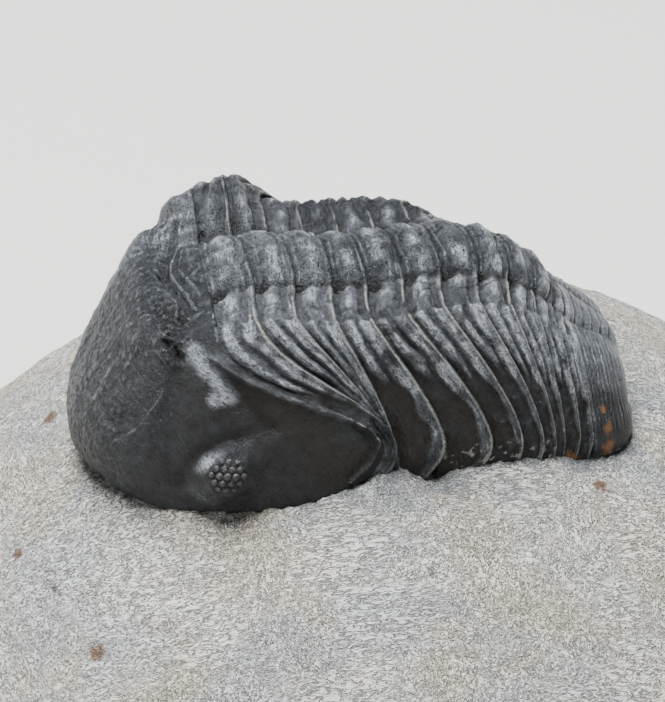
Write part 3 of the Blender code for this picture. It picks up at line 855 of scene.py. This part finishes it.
def high_pass(height, reach):
    """How far each place stands above (or below) its surroundings in a table of heights."""
    soft = height
    for axis in (0, 1):
        total = np.zeros_like(soft)
        for step in range(-reach, reach + 1):
            index = np.clip(np.arange(soft.shape[axis]) + step, 0, soft.shape[axis] - 1)
            total = total + np.take(soft, index, axis=axis)
        soft = total / (2 * reach + 1)
    return height - soft


def closed_tables(points, under):
    """Tables that run over a sheet, back underneath it, and meet where they started."""
    table = np.concatenate([points, under, points[:1]])
    table[:, 0] = table[:, 0].mean(axis=0)
    table[:, -1] = table[:, -1].mean(axis=0)
    return table


def finish_marks(marks, extra):
    """Marks for the rows underneath, which nobody sees."""
    return {name: np.concatenate([marks[name], np.zeros((extra, marks[name].shape[1]))])
            for name in MARKS}


def rows_under(u, lip):
    """Rows that run back under a sheet, from stations and heights over the vault."""
    return np.array([vault(np.full_like(u, v), u) + outward(np.full_like(u, v), u) * h for v, h in lip])


def lay_sheet(name, points, under, marks, v):
    """Close a sheet with the rows under it, and add it as a piece of the animal."""
    extra = len(under) + 1
    lay = np.concatenate([lay_of(points, v), np.zeros((extra, *points.shape[1:]))])
    mesh = grid_mesh(name, closed_tables(points, under), finish_marks(marks, extra), lay)
    weld(mesh)
    return add_piece(mesh, fossil_shell, "trilobite")


# how much each kind of place on the head is made pale: by wear, and by painted highlight on the fixed cheek
# and the upper head
VEIN_WEAR = 0.45
CHEEK_HIGHLIGHT = 1.25
LID_WEAR = 1.1
FLANK_WEAR = 0.35
FAN_WEAR = 0.75
UPPER_HIGHLIGHT = 0.12
FAR_WEAR = 0.40

row_v = np.interp(np.linspace(0, 1, HEAD_ROWS), (0, 0.12, 0.36, 0.72, 1), (0, 1.3, 3.8, 6.2, 8.0))
column_u = body_columns(NEAR_COLUMNS, FAR_COLUMNS)
V, U = np.meshgrid(row_v, column_u, indexing="ij")
base = vault(V, U)
height = head_relief(base, V) * settle(U)
head_points = base + outward(V, U) * height[..., None]
crest = high_pass(height, 4)
veins = sum(both_sides(base, path, 0.10) for path in GLABELLA_VEINS)
cheek_highlight = both_sides(base, [(7.0, -0.55), (6.7, -0.62), (6.4, -0.68), (6.1, -0.66)], 0.7)
lid_wear = np.zeros_like(V)
lens_fields = np.zeros_like(V)
eye_flank = np.zeros_like(V)
eye_zone = np.zeros_like(V)
for side in (-1, 1):
    a, b, rim = eye_shape(base, side)
    close = rim < 3
    lid_wear += close * bell(np.hypot((a - 0.7) * 0.55, b - 1.35), 0.5)
    lens_fields += close * smooth((1.12 - field_share(a, b)) / 0.2)
    eye_flank += close * bell(np.hypot(a + 1.5, (b + 0.5) * 0.7), 0.9)
    eye_zone += smooth((1.25 - rim) / 0.3)
low = smooth((np.abs(base[..., 1]) - 7.5) / 3)
upper = 1 - smooth((np.abs(base[..., 1]) - 5) / 3.5)
edge_line = both_sides(base, CHEEK_EDGE[0][2:], 0.13) + 0.8 * both_sides(base, CORNER_LINE[0], 0.11)
fan = both_sides(base, [(7.72, -0.60), (7.70, -0.68), (7.68, -0.74), (7.88, -0.80)], 0.65)
border = both_sides(base, [(7.6, -0.68), (7.3, -0.75), (7.2, -0.83), (6.7, -0.90)], 2.2)
# painted highlight on the fixed cheek's up-facing slope and on the upper head; wear on crests, veins, lids,
# eye flank and fan
wear_and_highlight = np.clip(crest * 6, 0, 0.5) * (1 - 0.5 * low) + VEIN_WEAR * veins + CHEEK_HIGHLIGHT * cheek_highlight
wear_and_highlight = wear_and_highlight + LID_WEAR * lid_wear + FLANK_WEAR * eye_flank + FAN_WEAR * fan + UPPER_HIGHLIGHT * upper
wear_and_highlight = wear_and_highlight + FAR_WEAR * smooth((base[..., 1] - 2) / 3)
rough_places = bell(distance_to_path(base, ROUGH_CENTRE), 0.8)
marks = {
    # painted shade on the lower flanks, away from the eyes
    "wear_and_highlight": wear_and_highlight * (1 - 0.7 * lens_fields) - 0.35 * low * (1 - eye_zone),
    "edge": 0.55 * edge_line * np.clip(0.8 + slow_noise(base, 0.8, 92), 0.2, 1.2) + 0.25 * veins,
    # painted shade in concave places, over the rough hollow and round the lenses
    "shade_and_dust": np.clip(-crest * 5, 0, 1) + 0.7 * rough_places + 0.5 * lens_fields,
    "facet": np.clip(border + 0.25 * low - fan - edge_line, 0, 1),
    "rough": both_sides(base, ROUGH_CENTRE, 1.2) + 0.35 * (1 - low),
}
head = lay_sheet("trilobite_head", head_points, rows_under(column_u, HEAD_LIP), marks, V)
print("head:", len(head.data.polygons), "faces, relief", round(float(height.min()), 2), "to",
      round(float(height.max()), 2), "mm")

# %% [markdown]
# ## The thorax
#
# Eleven segments lie over each other like roof tiles. Each one has a ring on the axis, an inner
# rib that stands as a block as far as the bend, and an outer rib that runs down the side. There
# the front part is a smooth facet, over which the segment in front slid when the animal rolled
# up, and the back part is a raised band with a thin bright edge. Each segment is its own closed
# piece, tucked under the one in front, so the shadow in each step is a real one; painted shade on
# the tucked front strip darkens it further.

# %% Profiles from the front to the back of a segment
# share of the way from the segment in front's edge to its own, height in millimetres
RING = ((-0.3, -0.5), (0.0, -0.30), (0.08, -0.32), (0.17, -0.10), (0.24, -0.14), (0.35, 0.03), (0.55, 0.16),
        (0.74, 0.11), (0.85, -0.06), (0.92, 0.05), (1, -0.04))
BLOCK = ((-0.3, -0.5), (0.0, -0.24), (0.12, -0.30), (0.24, -0.04), (0.42, 0.13), (0.60, 0.06), (0.73, -0.12),
         (0.80, -0.08), (0.90, 0.14), (1, 0.05))
RIB = ((-0.3, -0.45), (0.0, -0.18), (0.07, -0.18), (0.18, 0.03), (0.30, 0.17), (0.40, 0.07), (0.47, -0.16),
       (0.53, -0.12), (0.66, 0.10), (0.80, 0.06), (0.93, 0.18), (1, 0.07))
FACET = ((-0.3, -0.4), (0.0, -0.20), (0.1, -0.20), (0.35, -0.16), (0.64, -0.20), (0.71, -0.05), (0.78, 0.06),
         (0.90, 0.04), (0.96, 0.12), (1, 0.05))
BOSS_HEIGHT = 0.16
FURROW_DEPTH = 0.10
PIT_DEPTH = 0.7
PIT_SHARE = 0.2
BEND_DEPTH = 0.05
FACET_START = 0.70
CROWDED = 2.4
TIP_START = 0.86
LOBE_RISE = 0.35


def spacing(v, u):
    """How far it is to the next segment's edge, in millimetres."""
    return np.linalg.norm(vault(v + 0.05, u) - vault(v - 0.05, u), axis=-1) / 0.1


def lean(v, u):
    """How far a ring bows back beside the near furrow and runs forward over the far side."""
    near_bow = 0.13 * bell(u + 0.17, 0.10)
    far_run = 0.20 * smooth((u + 0.02) / 0.2)
    return (near_bow - far_run) * smooth((v - 8) / 1.5) * (1 - smooth((v - 17.5) / 2))


def rib_forms(v, u, s, points):
    """Height over the vault, and the marks that go with it, for segments and tail alike."""
    y = np.abs(points[..., 1])
    half_axis = eased(v, AXIS_HALF_WIDTH)
    shoulder = station(v)[3]
    on_axis = 1 - smooth((y - half_axis + 0.25) / 0.5)
    flat = flat_share(shoulder)
    past_bend = smooth((np.abs(u) - flat + 0.025) / 0.07)
    facet_edge = FACET_START + 0.10 * (s - 0.4)
    on_facet = smooth((np.abs(u) - facet_edge) / 0.06)
    ring = eased(s, RING) + 0.6 * BOSS_HEIGHT * bell(s - 0.55, 0.25) * bell(y - 1.9, 0.9)
    middle = 0.5 * (half_axis + shoulder)
    block = eased(s, BLOCK) + BOSS_HEIGHT * (bell(s - 0.42, 0.2) * bell(y - middle, 1.1) - 0.3)
    rib = eased(s, RIB) * (1 - on_facet) + eased(s, FACET) * on_facet
    outer = block * (1 - past_bend) + rib * past_bend
    furrow = bell(y - half_axis, 0.45)
    pit = bell(s - PIT_SHARE, 0.15) * bell(y - half_axis - 0.05, 0.45) * (0.4 + 0.6 * (points[..., 1] < 0))
    bend = bell(y - shoulder * 0.985, 0.22) * smooth((s - 0.2) / 0.15)
    room = np.clip(spacing(v, u) / CROWDED, 0.18, 1)
    height = ring * on_axis + outer * (1 - on_axis) - FURROW_DEPTH * furrow - PIT_DEPTH * pit
    height = (height - BEND_DEPTH * bend) * room + axis_dome(v, y) * on_axis
    marks = {"axis": on_axis, "facet": on_facet * smooth((0.78 - s) / 0.1) * room, "room": room,
             "past_bend": past_bend, "pit": pit, "furrow": furrow}
    return height, marks


# %% Lay one segment
SEGMENT_ROWS = 38
SEGMENT_COLUMNS = 190
SEGMENT_FAR_COLUMNS = 140
TUCK = -0.24
WAVER = 0.10
FIRST_LIFT = 0.20
CORNER_WEAR = 0.15
CRACK_DEPTH = 0.13
CRACK_WIDTH = 0.075
CRACKS = ([(12.93, -0.169), (13.25, -0.221), (13.61, -0.254), (13.89, -0.267)],
          [(13.33, -0.326), (13.52, -0.303), (13.71, -0.286)],
          [(14.24, -0.341), (14.77, -0.32), (15.41, -0.273), (16.58, -0.174)])
SHELL_THICKNESS = 0.45
EDGE_CURL = ((1.012, -0.06), (1.018, -0.18), (1.008, -0.34))


def tip_pull(s, u):
    """Near its tip a rib narrows to a rounded end, so its back edge swings forward."""
    reach = smooth((np.abs(u) - TIP_START) / (1 - TIP_START))
    return s - 0.30 * reach * smooth(s / 0.9) * reach


def segment_tables(number, column_u):
    """Points, marks and lay of one segment, from its tucked front edge to its curled back edge."""
    start = HEAD_END + number - 1
    s = np.interp(np.linspace(0, 1, SEGMENT_ROWS), (0, 0.12, 1), (TUCK, 0.0, 1.0))
    S, U = np.meshgrid(s, column_u, indexing="ij")
    V = start + tip_pull(S, U)
    V = V + lean(V, U)
    base = vault(V, U)
    waver = WAVER * slow_noise(base, 2.4, number + 60) * smooth(S / 0.25) * smooth((1 - S) / 0.12)
    height, forms = rib_forms(V, U, S + waver, base)
    wobble = 0.05 * slow_noise(base, 1.3, number) + 0.03 * slow_noise(base, 0.35, number + 20)
    if number == 1:
        height = height + FIRST_LIFT * bell(S, 0.22)
    lobe = LOBE_RISE * bell(np.abs(U) - 0.93, 0.07) * bell(S - 0.5, 0.35) * forms["room"]
    forms["crack"] = sum(bell(distance_to_path(base, path), CRACK_WIDTH) for path in CRACKS)
    height = (height + wobble + lobe) * settle(U) - CRACK_DEPTH * forms["crack"]
    points = base + outward(V, U) * height[..., None]
    return S, U, V, base, height, forms, points


def segment_marks(S, U, base, height, forms, number):
    """Where the segment is pale with wear and painted highlights, dark with painted shade, or smooth and
    brown.
    """
    crest = high_pass(height, 4)
    y = np.abs(base[..., 1])
    # painted highlights: where the lamp glints on the ring bosses and on the blocks
    ring_highlight = bell(S - 0.57, 0.20) * bell((y - 1.7) / 1.6, 1) * forms["axis"]
    block_highlight = bell(S - 0.43, 0.15) * bell((y - 5.3) / 1.4, 1) * (1 - forms["axis"])
    near = np.where(base[..., 1] < 0, 1.0, 0.8)
    block_edge = bell(S - 0.93, 0.04) * (1 - forms["axis"]) * (1 - forms["past_bend"]) * near
    # painted highlights along the crest lines of the ribs
    rib_crest_highlight = 0.9 * bell(S - 0.74, 0.16) + 0.8 * bell(S - 0.27, 0.12) - 0.3 * bell(S - 0.5, 0.07)
    rib_crest_highlight = rib_crest_highlight + 0.7 * bell(S - 0.29, 0.035) + 0.7 * bell(S - 0.68, 0.035)
    rib_crest_highlight = rib_crest_highlight * forms["past_bend"] * (1 - forms["facet"]) * (1 - smooth((np.abs(U) - 0.72) / 0.1))
    thin_edge = bell(S - 0.95, 0.045) * forms["past_bend"]
    patchy = np.clip(0.8 + 0.7 * slow_noise(base, 1.2, number + 40), 0.0, 1.3)
    far_vein = bell(base[..., 1] - 2.6, 0.3) * (number <= 5) * 0.7
    ring_edge = 0.5 * bell(S - 0.94, 0.035) * forms["axis"]
    band = bell(S - 0.85, 0.12) * smooth((np.abs(U) - 0.6) / 0.1)
    wear_and_highlight = np.clip(crest * 4, 0, 0.5) + 0.78 * ring_highlight + 0.85 * block_highlight + far_vein + 0.3 * band
    # a painted sheen over all but the facets; wear and painted highlights are weaker on the far side
    wear_and_highlight = (wear_and_highlight + 0.75 * rib_crest_highlight) * patchy + 0.22 * (1 - forms["facet"]) + CORNER_WEAR * (number <= 3)
    wear_and_highlight = wear_and_highlight * np.where(base[..., 1] < 2.8, 1.0, 0.55)
    scrap = bell(np.abs(U) - 0.95, 0.04) * (base[..., 1] < 0) * (5 <= number <= 8)
    scrap = 0.7 * scrap * smooth((slow_noise(base, 0.4, 90) - 0.35) / 0.25)
    edge = (0.75 * block_edge + ring_edge) * np.clip(patchy, 0.3, 1.0) + 0.7 * thin_edge + scrap
    # painted shade on the front strip tucked under the segment in front
    tucked = bell(S - 0.02, 0.06) * (0.4 if number == 1 else 1)
    # painted shade in concave places, pits, furrows and cracks, weaker on the far side
    shade_and_dust = np.clip(-crest * 5, 0, 0.7) + forms["pit"] + 0.1 * forms["furrow"] + tucked + forms["crack"]
    shade_and_dust = shade_and_dust * np.where(base[..., 1] < 3, 1.0, 0.4)
    return {"wear_and_highlight": np.clip(wear_and_highlight, 0, 0.95), "edge": np.clip(edge, 0, 1), "shade_and_dust": np.clip(shade_and_dust, 0, 1.2),
            "facet": forms["facet"], "rough": 0.5 * forms["axis"] + 0.3 * (1 - forms["facet"])}


def lay_segment(number):
    """Build one segment as a closed piece."""
    column_u = body_columns(SEGMENT_COLUMNS, SEGMENT_FAR_COLUMNS)
    S, U, V, base, height, forms, points = segment_tables(number, column_u)
    marks = segment_marks(S, U, base, height, forms, number)
    start = HEAD_END + number - 1
    under = []
    for s, drop in EDGE_CURL:
        v = start + tip_pull(np.full_like(column_u, s), column_u)
        v = v + lean(v, column_u)
        lip = height[-1] + drop * settle(column_u)
        under.append(vault(v, column_u) + outward(v, column_u) * lip[:, None])
    for row in (int(SEGMENT_ROWS * share) for share in (0.75, 0.5, 0.25)):
        low = np.minimum(height[row], height[-1]) - SHELL_THICKNESS
        under.append(base[row] + outward(V[row], column_u) * low[:, None])
    return lay_sheet(f"trilobite_segment_{number:02d}", points, np.array(under), marks, V)


segments = [lay_segment(number) for number in range(1, SEGMENTS + 1)]
print(len(segments), "segments of", len(segments[0].data.polygons), "faces")

# %% [markdown]
# ## The tail
#
# The tail is one plate. Its rings and ribs stand half as far apart as the segments do, they
# fade toward a smooth rounded border, and the last of them can hardly be counted.

# %% Lay the tail
TAIL_ROWS = 110
TAIL_COLUMNS = 170
TAIL_RING = ((0, -0.10), (0.12, -0.10), (0.35, 0.04), (0.8, 0.06), (0.93, 0.05), (1, -0.10))
TAIL_RIB = ((0, -0.07), (0.10, -0.07), (0.28, 0.02), (0.5, 0.02), (0.62, -0.02), (0.72, 0.03), (0.93, 0.07),
            (1, -0.07))
TAIL_FRONT = 18.78
BORDER_START = 0.80
TAIL_LIP = ((22.2, -1.2), (21, -1.2), (19.8, -1.2))


def tail_relief(v, u, points):
    """Rings and ribs that fade to the back and into the smooth border."""
    part = (2 * v) % 1
    y = np.abs(points[..., 1])
    half_axis = eased(v, AXIS_HALF_WIDTH)
    on_axis = 1 - smooth((y - half_axis + 0.25) / 0.5)
    fade = 1 - smooth((v - 20.9) / 1.4)
    ribs = eased(part, TAIL_RIB) * (1 - smooth((np.abs(u) - BORDER_START) / 0.12)) * (0.4 + 0.6 * fade)
    rings = eased(part, TAIL_RING) + axis_dome(v, y)
    border = 0.30 * smooth((np.abs(u) - 0.68) / 0.2) * (1 - fade * 0.5)
    furrow = 0.15 * bell(y - half_axis, 0.5) * (1 - smooth((v - 21.0) / 1.0))
    tucked = -0.9 * (1 - smooth((v - TAIL_FRONT - 0.1) / 0.28))
    height = rings * on_axis + ribs * (1 - on_axis) * (0.25 + 0.75 * fade) + border - furrow + tucked
    return height * smooth((TAIL_END - v) / 0.6), part, on_axis, fade


row_v = np.linspace(TAIL_FRONT, TAIL_END, TAIL_ROWS)
column_u = body_columns(TAIL_COLUMNS, SEGMENT_FAR_COLUMNS)
V, U = np.meshgrid(row_v, column_u, indexing="ij")
V = V + lean(V, U)
base = vault(V, U)
height, part, on_axis, fade = tail_relief(V, U, base)
height = (height + 0.05 * slow_noise(base, 1.3, 31)) * settle(U)
tail_points = base + outward(V, U) * height[..., None]
crest = high_pass(height, 4)
rusty = bell(np.abs(U) - 0.975, 0.02) * smooth((slow_noise(base, 0.4, 91) - 0.25) / 0.3)
ribs = bell(part - 0.90, 0.08) * fade * (1 - smooth((np.abs(U) - BORDER_START) / 0.1))
patchy = np.clip(0.5 + 1.2 * slow_noise(base, 1.2, 33), 0, 1.3)
# paler on top and on the crests, darker down the sides: wear and painted highlight
wear_and_highlight = 0.42 * (1 - 0.8 * smooth((np.abs(U) - 0.55) / 0.2)) + np.clip(crest * 4, 0, 0.5)
marks = {
    "wear_and_highlight": wear_and_highlight + 0.45 * ribs * patchy,
    # painted shade in concave places
    "shade_and_dust": np.clip(-crest * 5, 0, 0.9),
    "edge": 0.6 * rusty,
    "facet": smooth((np.abs(U) - 0.6) / 0.2),
    "rough": 0.4 * np.ones_like(U),
}
tail = lay_sheet("trilobite_tail", tail_points, rows_under(column_u, TAIL_LIP), marks, V)
print("tail:", len(tail.data.polygons), "faces")

# %% [markdown]
# ## The lenses of the eyes
#
# The photo shows large lenses in staggered rows on the side of a rounded mound. Each lens is a
# bead of its own, set by a loop on a hexagonal pattern and sunk to half its depth. Nineteen
# beads of eighty faces cost less than a mesh fine enough to raise them. The far eye is out of
# sight in the photo, so it repeats the near one.

# %% Set the lenses
LENS_PITCH = 0.53
LENS_RADIUS = 0.268
LENS_FLATNESS = 0.58
LENS_ROW_STEP = 0.87


def head_surface(v, u):
    """Points of the finished head at any stations and shares."""
    base = vault(v, u)
    return base + outward(v, u) * head_relief(base, v)[..., None]


def on_eye(a, b, side):
    """Station and share whose vault point lies a along and b up from the eye's middle."""
    middle, along, up, _ = eye_axes(side)
    v = np.full(len(a), EYE_PLACE[0])
    u = np.full(len(a), EYE_PLACE[1] * -side)
    for _ in range(4):
        here = vault(v, u)
        to_v = (vault(v + 0.01, u) - here) / 0.01
        to_u = (vault(v, u + 0.001) - here) / 0.001
        m = np.stack([np.stack([to_v @ along, to_u @ along], -1),
                      np.stack([to_v @ up, to_u @ up], -1)], -2)
        miss = np.stack([a - (here - middle) @ along, b - (here - middle) @ up], -1)
        change = np.linalg.solve(m, miss[..., None])[..., 0]
        v = v + change[:, 0]
        u = u + change[:, 1]
    return v, u


def lens_places():
    """Hexagonal places inside the eye's visual field, in the eye's own axes."""
    places = []
    turn_cos, turn_sin = math.cos(FIELD_TILT), math.sin(FIELD_TILT)
    for row in range(-5, 6):
        for column in range(-6, 7):
            a = (column + 0.5 * (row % 2)) * LENS_PITCH
            b = row * LENS_PITCH * LENS_ROW_STEP
            a, b = a * turn_cos - b * turn_sin, a * turn_sin + b * turn_cos
            place = (a + FIELD_MIDDLE[0], b + FIELD_MIDDLE[1])
            if field_share(*place) < 1:
                places.append(place)
    return np.array(places)


def lens_mesh(side):
    """All the lenses of one eye in one mesh."""
    places = lens_places()
    v, u = on_eye(places[:, 0], places[:, 1], side)
    centre = head_surface(v, u)
    along = head_surface(v + 0.02, u) - head_surface(v - 0.02, u)
    across = head_surface(v, u + 0.002) - head_surface(v, u - 0.002)
    normal = np.cross(along, across)
    normal = normal / np.linalg.norm(normal, axis=1, keepdims=True)
    bm = bmesh.new()
    for k, (point, out) in enumerate(zip(centre, normal)):
        edge = field_share(*places[k])
        size = LENS_RADIUS * (1.0 - 0.22 * edge ** 2) * (1 + 0.06 * math.sin(7.1 * k))
        turn = Vector(out).to_track_quat("Z", "Y").to_matrix().to_4x4()
        place = Matrix.Translation(Vector(in_frame(point))) @ turn
        flat = Matrix.Diagonal((size * MM, size * MM, size * LENS_FLATNESS * MM, 1))
        bmesh.ops.create_icosphere(bm, subdivisions=2, radius=1, matrix=place @ flat)
    for face in bm.faces:
        face.smooth = True
    mesh = bpy.data.meshes.new("trilobite_lenses_near" if side < 0 else "trilobite_lenses_far")
    bm.to_mesh(mesh)
    bm.free()
    return mesh


for side in (-1, 1):
    lenses = add_piece(lens_mesh(side), lens_calcite, "trilobite")
    print(lenses.name, len(lens_places()), "lenses")

# %% [markdown]
# ## The block of limestone
#
# The preparer left the animal on a rubbed dome, cut as close as a scribe can go. The stone
# comes up to the shell in a small ragged lip, higher in some places than in others. The photo
# shows only the dome, so the block's edge and its flat sawn base are the CAD model's. The piece
# is one table of rings: out from under the shell, over the dome, down the side and in under the
# base.

# %% Rings of the block
BLOCK_HALF_LENGTH = 43.0
BLOCK_HALF_WIDTH = 38.0
BLOCK_BASE = -40.0
BLOCK_SQUARENESS = 2.4
EDGE_ROUNDING = 6.0
EDGE_DROP = 2.4
BASE_CHAMFER = 1.2
POCKET_FLOOR = -16.8
AROUND = 440
TOP_RINGS = 96
SIDE_RINGS = 22
MOAT_WIDTH = 2.2
# how much higher the stone stands against the near side of the shell, by the margin's x
NEAR_BANK = ((-19, 0.2), (-14, 0.4), (-9, 0.4), (-5, 0.2), (-2.2, 0.55), (0.2, 1.15), (1.4, 1.05),
             (2.4, 0.1), (3.3, -0.6), (4.2, -0.6), (5.4, 0.15), (7.2, 0.65), (10.2, 0.8), (12.6, 0.5),
             (14.6, -0.1), (19, -0.15))


def margin_loop(count):
    """Evenly spaced points of the margin in plan, from the head along the near side and back."""
    v = np.linspace(0, TAIL_END, 600)
    near = vault(v, np.full(len(v), -1.0))
    far = vault(v[::-1], np.full(len(v), 1.0))
    loop = np.concatenate([near, far[1:]])[:, :2]
    length = np.concatenate([[0], np.cumsum(np.linalg.norm(np.diff(loop, axis=0), axis=1))])
    wanted = np.arange(count) / count * length[-1]
    return np.stack([np.interp(wanted, length, loop[:, k]) for k in (0, 1)], axis=-1)


def block_edge(rim):
    """The block's outline in plan, one point for each point of the rim, and the way out to it."""
    angle = np.arctan2(rim[:, 1], rim[:, 0])
    away = np.stack([np.cos(angle), np.sin(angle)], axis=-1)
    long_share = np.abs(away[:, 0]) / BLOCK_HALF_LENGTH
    wide_share = np.abs(away[:, 1]) / BLOCK_HALF_WIDTH
    radius = (long_share ** BLOCK_SQUARENESS + wide_share ** BLOCK_SQUARENESS) ** (-1 / BLOCK_SQUARENESS)
    lobes = 0.025 * np.sin(2 * angle + 0.7) + 0.02 * np.sin(3 * angle + 2) + 0.012 * np.sin(5 * angle)
    return away * (radius * (1 + lobes))[:, None] + DOME_CENTRE[:2], away


def smoothed_loop(values, reach):
    """Average values round a closed loop."""
    return sum(np.roll(values, step, axis=0) for step in range(-reach, reach + 1)) / (2 * reach + 1)


def bank_height(rim, gap):
    """How much the stone is built up, or cut down, near the shell."""
    on_near = smooth((DOME_CENTRE[1] - 4 - rim[:, 1]) / 3)
    rise = smoothed_loop(eased(rim[:, 0], NEAR_BANK) * on_near, 3)
    return rise * (1 - smooth(gap / 3.2))


def stone_ring(plan, height, amount):
    """A ring of points, with the height roughened by slow noise."""
    ring = np.column_stack([plan, height])
    ring[:, 2] += amount * (0.22 * slow_noise(ring, 7, 50) + 0.10 * slow_noise(ring, 2.2, 51)
                            + 0.045 * slow_noise(ring, 0.8, 52))
    return ring


rim = smoothed_loop(margin_loop(AROUND), 3)
along = smoothed_loop(np.roll(rim, -1, axis=0) - np.roll(rim, 1, axis=0), 4)
away_from_shell = np.stack([along[:, 1], -along[:, 0]], axis=-1)
away_from_shell = away_from_shell / np.linalg.norm(away_from_shell, axis=1)[:, None]
edge, away = block_edge(rim)
top_end = edge - away * EDGE_ROUNDING
reach = np.linalg.norm(top_end - rim, axis=1)
rings = [np.tile([DOME_CENTRE[0], DOME_CENTRE[1], POCKET_FLOOR], (AROUND, 1))]
gaps = [np.full(AROUND, -3.0)]
inside = rim - away_from_shell * 1.6
rings.append(np.column_stack([inside, np.full(AROUND, POCKET_FLOOR)]))
gaps.append(np.full(AROUND, -1.6))
for share in np.linspace(0, 1, TOP_RINGS) ** 1.35:
    gap = -1.1 + (reach + 1.1) * share
    start = rim + away_from_shell * np.minimum(gap, 1.0)[:, None]
    plan = start + (top_end - start) * np.clip((gap - 1.0) / (reach - 1.0), 0, 1)[:, None]
    height = dome(plan[:, 0], plan[:, 1]) + bank_height(rim, np.maximum(gap, 0))
    lip = 0.16 * bell(gap, 0.5) * slow_noise(np.column_stack([plan, height]), 0.6, 55)
    rings.append(stone_ring(plan, height + lip, 1.0))
    gaps.append(gap)
for degrees in np.linspace(8, 90, 12):
    angle = math.radians(degrees)
    plan = top_end + away * EDGE_ROUNDING * math.sin(angle)
    height = dome(plan[:, 0], plan[:, 1]) - EDGE_DROP * (1 - math.cos(angle))
    rings.append(stone_ring(plan, height, 1.5))
    gaps.append(reach + 6)
shoulder = rings[-1]
lowest = BLOCK_BASE + BASE_CHAMFER
for share in np.linspace(0, 1, SIDE_RINGS)[1:]:
    ring = shoulder.copy()
    ring[:, 2] = shoulder[:, 2] + (lowest - shoulder[:, 2]) * share
    swell = 0.35 * slow_noise(ring, 9, 60) * math.sin(math.pi * min(1, share + 0.15))
    swell = swell + 0.4 * math.sin(math.pi * share) + 0.12 * slow_noise(ring, 2.5, 61) * (1 - share)
    ring[:, :2] += away * (swell - 0.3 * share)[:, None]
    rings.append(ring)
    gaps.append(reach + 9)
last = rings[-1].copy()
for inset, height in ((0.5 * BASE_CHAMFER, -0.7 * BASE_CHAMFER), (BASE_CHAMFER, -BASE_CHAMFER)):
    rings.append(np.column_stack([last[:, :2] - away * inset, np.full(AROUND, lowest + height)]))
    gaps.append(reach + 12)
for share in (0.5, 0.0):
    plan = DOME_CENTRE[:2] + (last[:, :2] - DOME_CENTRE[:2]) * share
    rings.append(np.column_stack([plan, np.full(AROUND, BLOCK_BASE)]))
    gaps.append(reach + 20)
table = np.array(rings)
gap_table = np.array(gaps)
table = np.concatenate([table, table[:, :1]], axis=1)
gap_table = np.concatenate([gap_table, gap_table[:, :1]], axis=1)
# the moat mark round the shell: dust and painted shadow, fading out over a few millimetres and weaker in
# front of the head
moat = np.exp(-np.maximum(gap_table, 0) / MOAT_WIDTH)
moat = moat * np.clip(0.75 + 0.6 * slow_noise(table, 1.6, 63), 0, 1.2)
moat = moat * (0.3 + 0.7 * smooth((table[..., 0] + 4) / 3))
nothing = np.zeros_like(moat)
marks = {name: nothing for name in MARKS}
marks["shade_and_dust"] = np.clip(moat, 0, 1)
stone_mesh = grid_mesh("limestone_block", table, marks, np.zeros_like(table))
weld(stone_mesh)
add_piece(stone_mesh, limestone, "matrix")
print("block:", len(stone_mesh.polygons), "faces")

# %% Floor and light
FLOOR_SIZE = 3.0
FLOOR_GREY = (0.72, 0.71, 0.69)
FLOOR_ROUGHNESS = 0.8
# place in metres, size in metres and power in watts
KEY_LIGHT = ((-0.08, 0.06, 0.62), 0.32, 13.0)
FILL_LIGHT = ((0.3, -0.7, 0.35), 0.7, 0.5)
LIGHT_TARGET = (0, 0, 0.03)
SKY_BLUE = (0.9, 0.93, 1, 1)
SKY_STRENGTH = 0.08


def plain_material(name, colour, roughness):
    """A material of one colour and roughness."""
    material, _, shader = new_material(name)
    shader.inputs["Base Color"].default_value = (*colour, 1)
    shader.inputs["Roughness"].default_value = roughness
    return material


floor_mesh = bpy.data.meshes.new("floor")
bm = bmesh.new()
bmesh.ops.create_grid(bm, x_segments=1, y_segments=1, size=FLOOR_SIZE / 2)
bm.to_mesh(floor_mesh)
bm.free()
floor = bpy.data.objects.new("floor", floor_mesh)
floor.data.materials.append(plain_material("pale_floor", FLOOR_GREY, FLOOR_ROUGHNESS))
bpy.context.scene.collection.objects.link(floor)


def soft_light(name, place, size, power):
    """A square lamp at a place in metres, turned toward the middle of the object."""
    data = bpy.data.lights.new(name, "AREA")
    data.size = size
    data.energy = power
    lamp = bpy.data.objects.new(name, data)
    lamp.location = place
    aim = Vector(LIGHT_TARGET) - Vector(place)
    lamp.rotation_euler = aim.to_track_quat("-Z", "Y").to_euler()
    bpy.context.scene.collection.objects.link(lamp)


soft_light("key", *KEY_LIGHT)
soft_light("fill", *FILL_LIGHT)
world = bpy.data.worlds.new("studio")
world.use_nodes = True
world.node_tree.nodes["Background"].inputs["Color"].default_value = SKY_BLUE
world.node_tree.nodes["Background"].inputs["Strength"].default_value = SKY_STRENGTH
bpy.context.scene.world = world
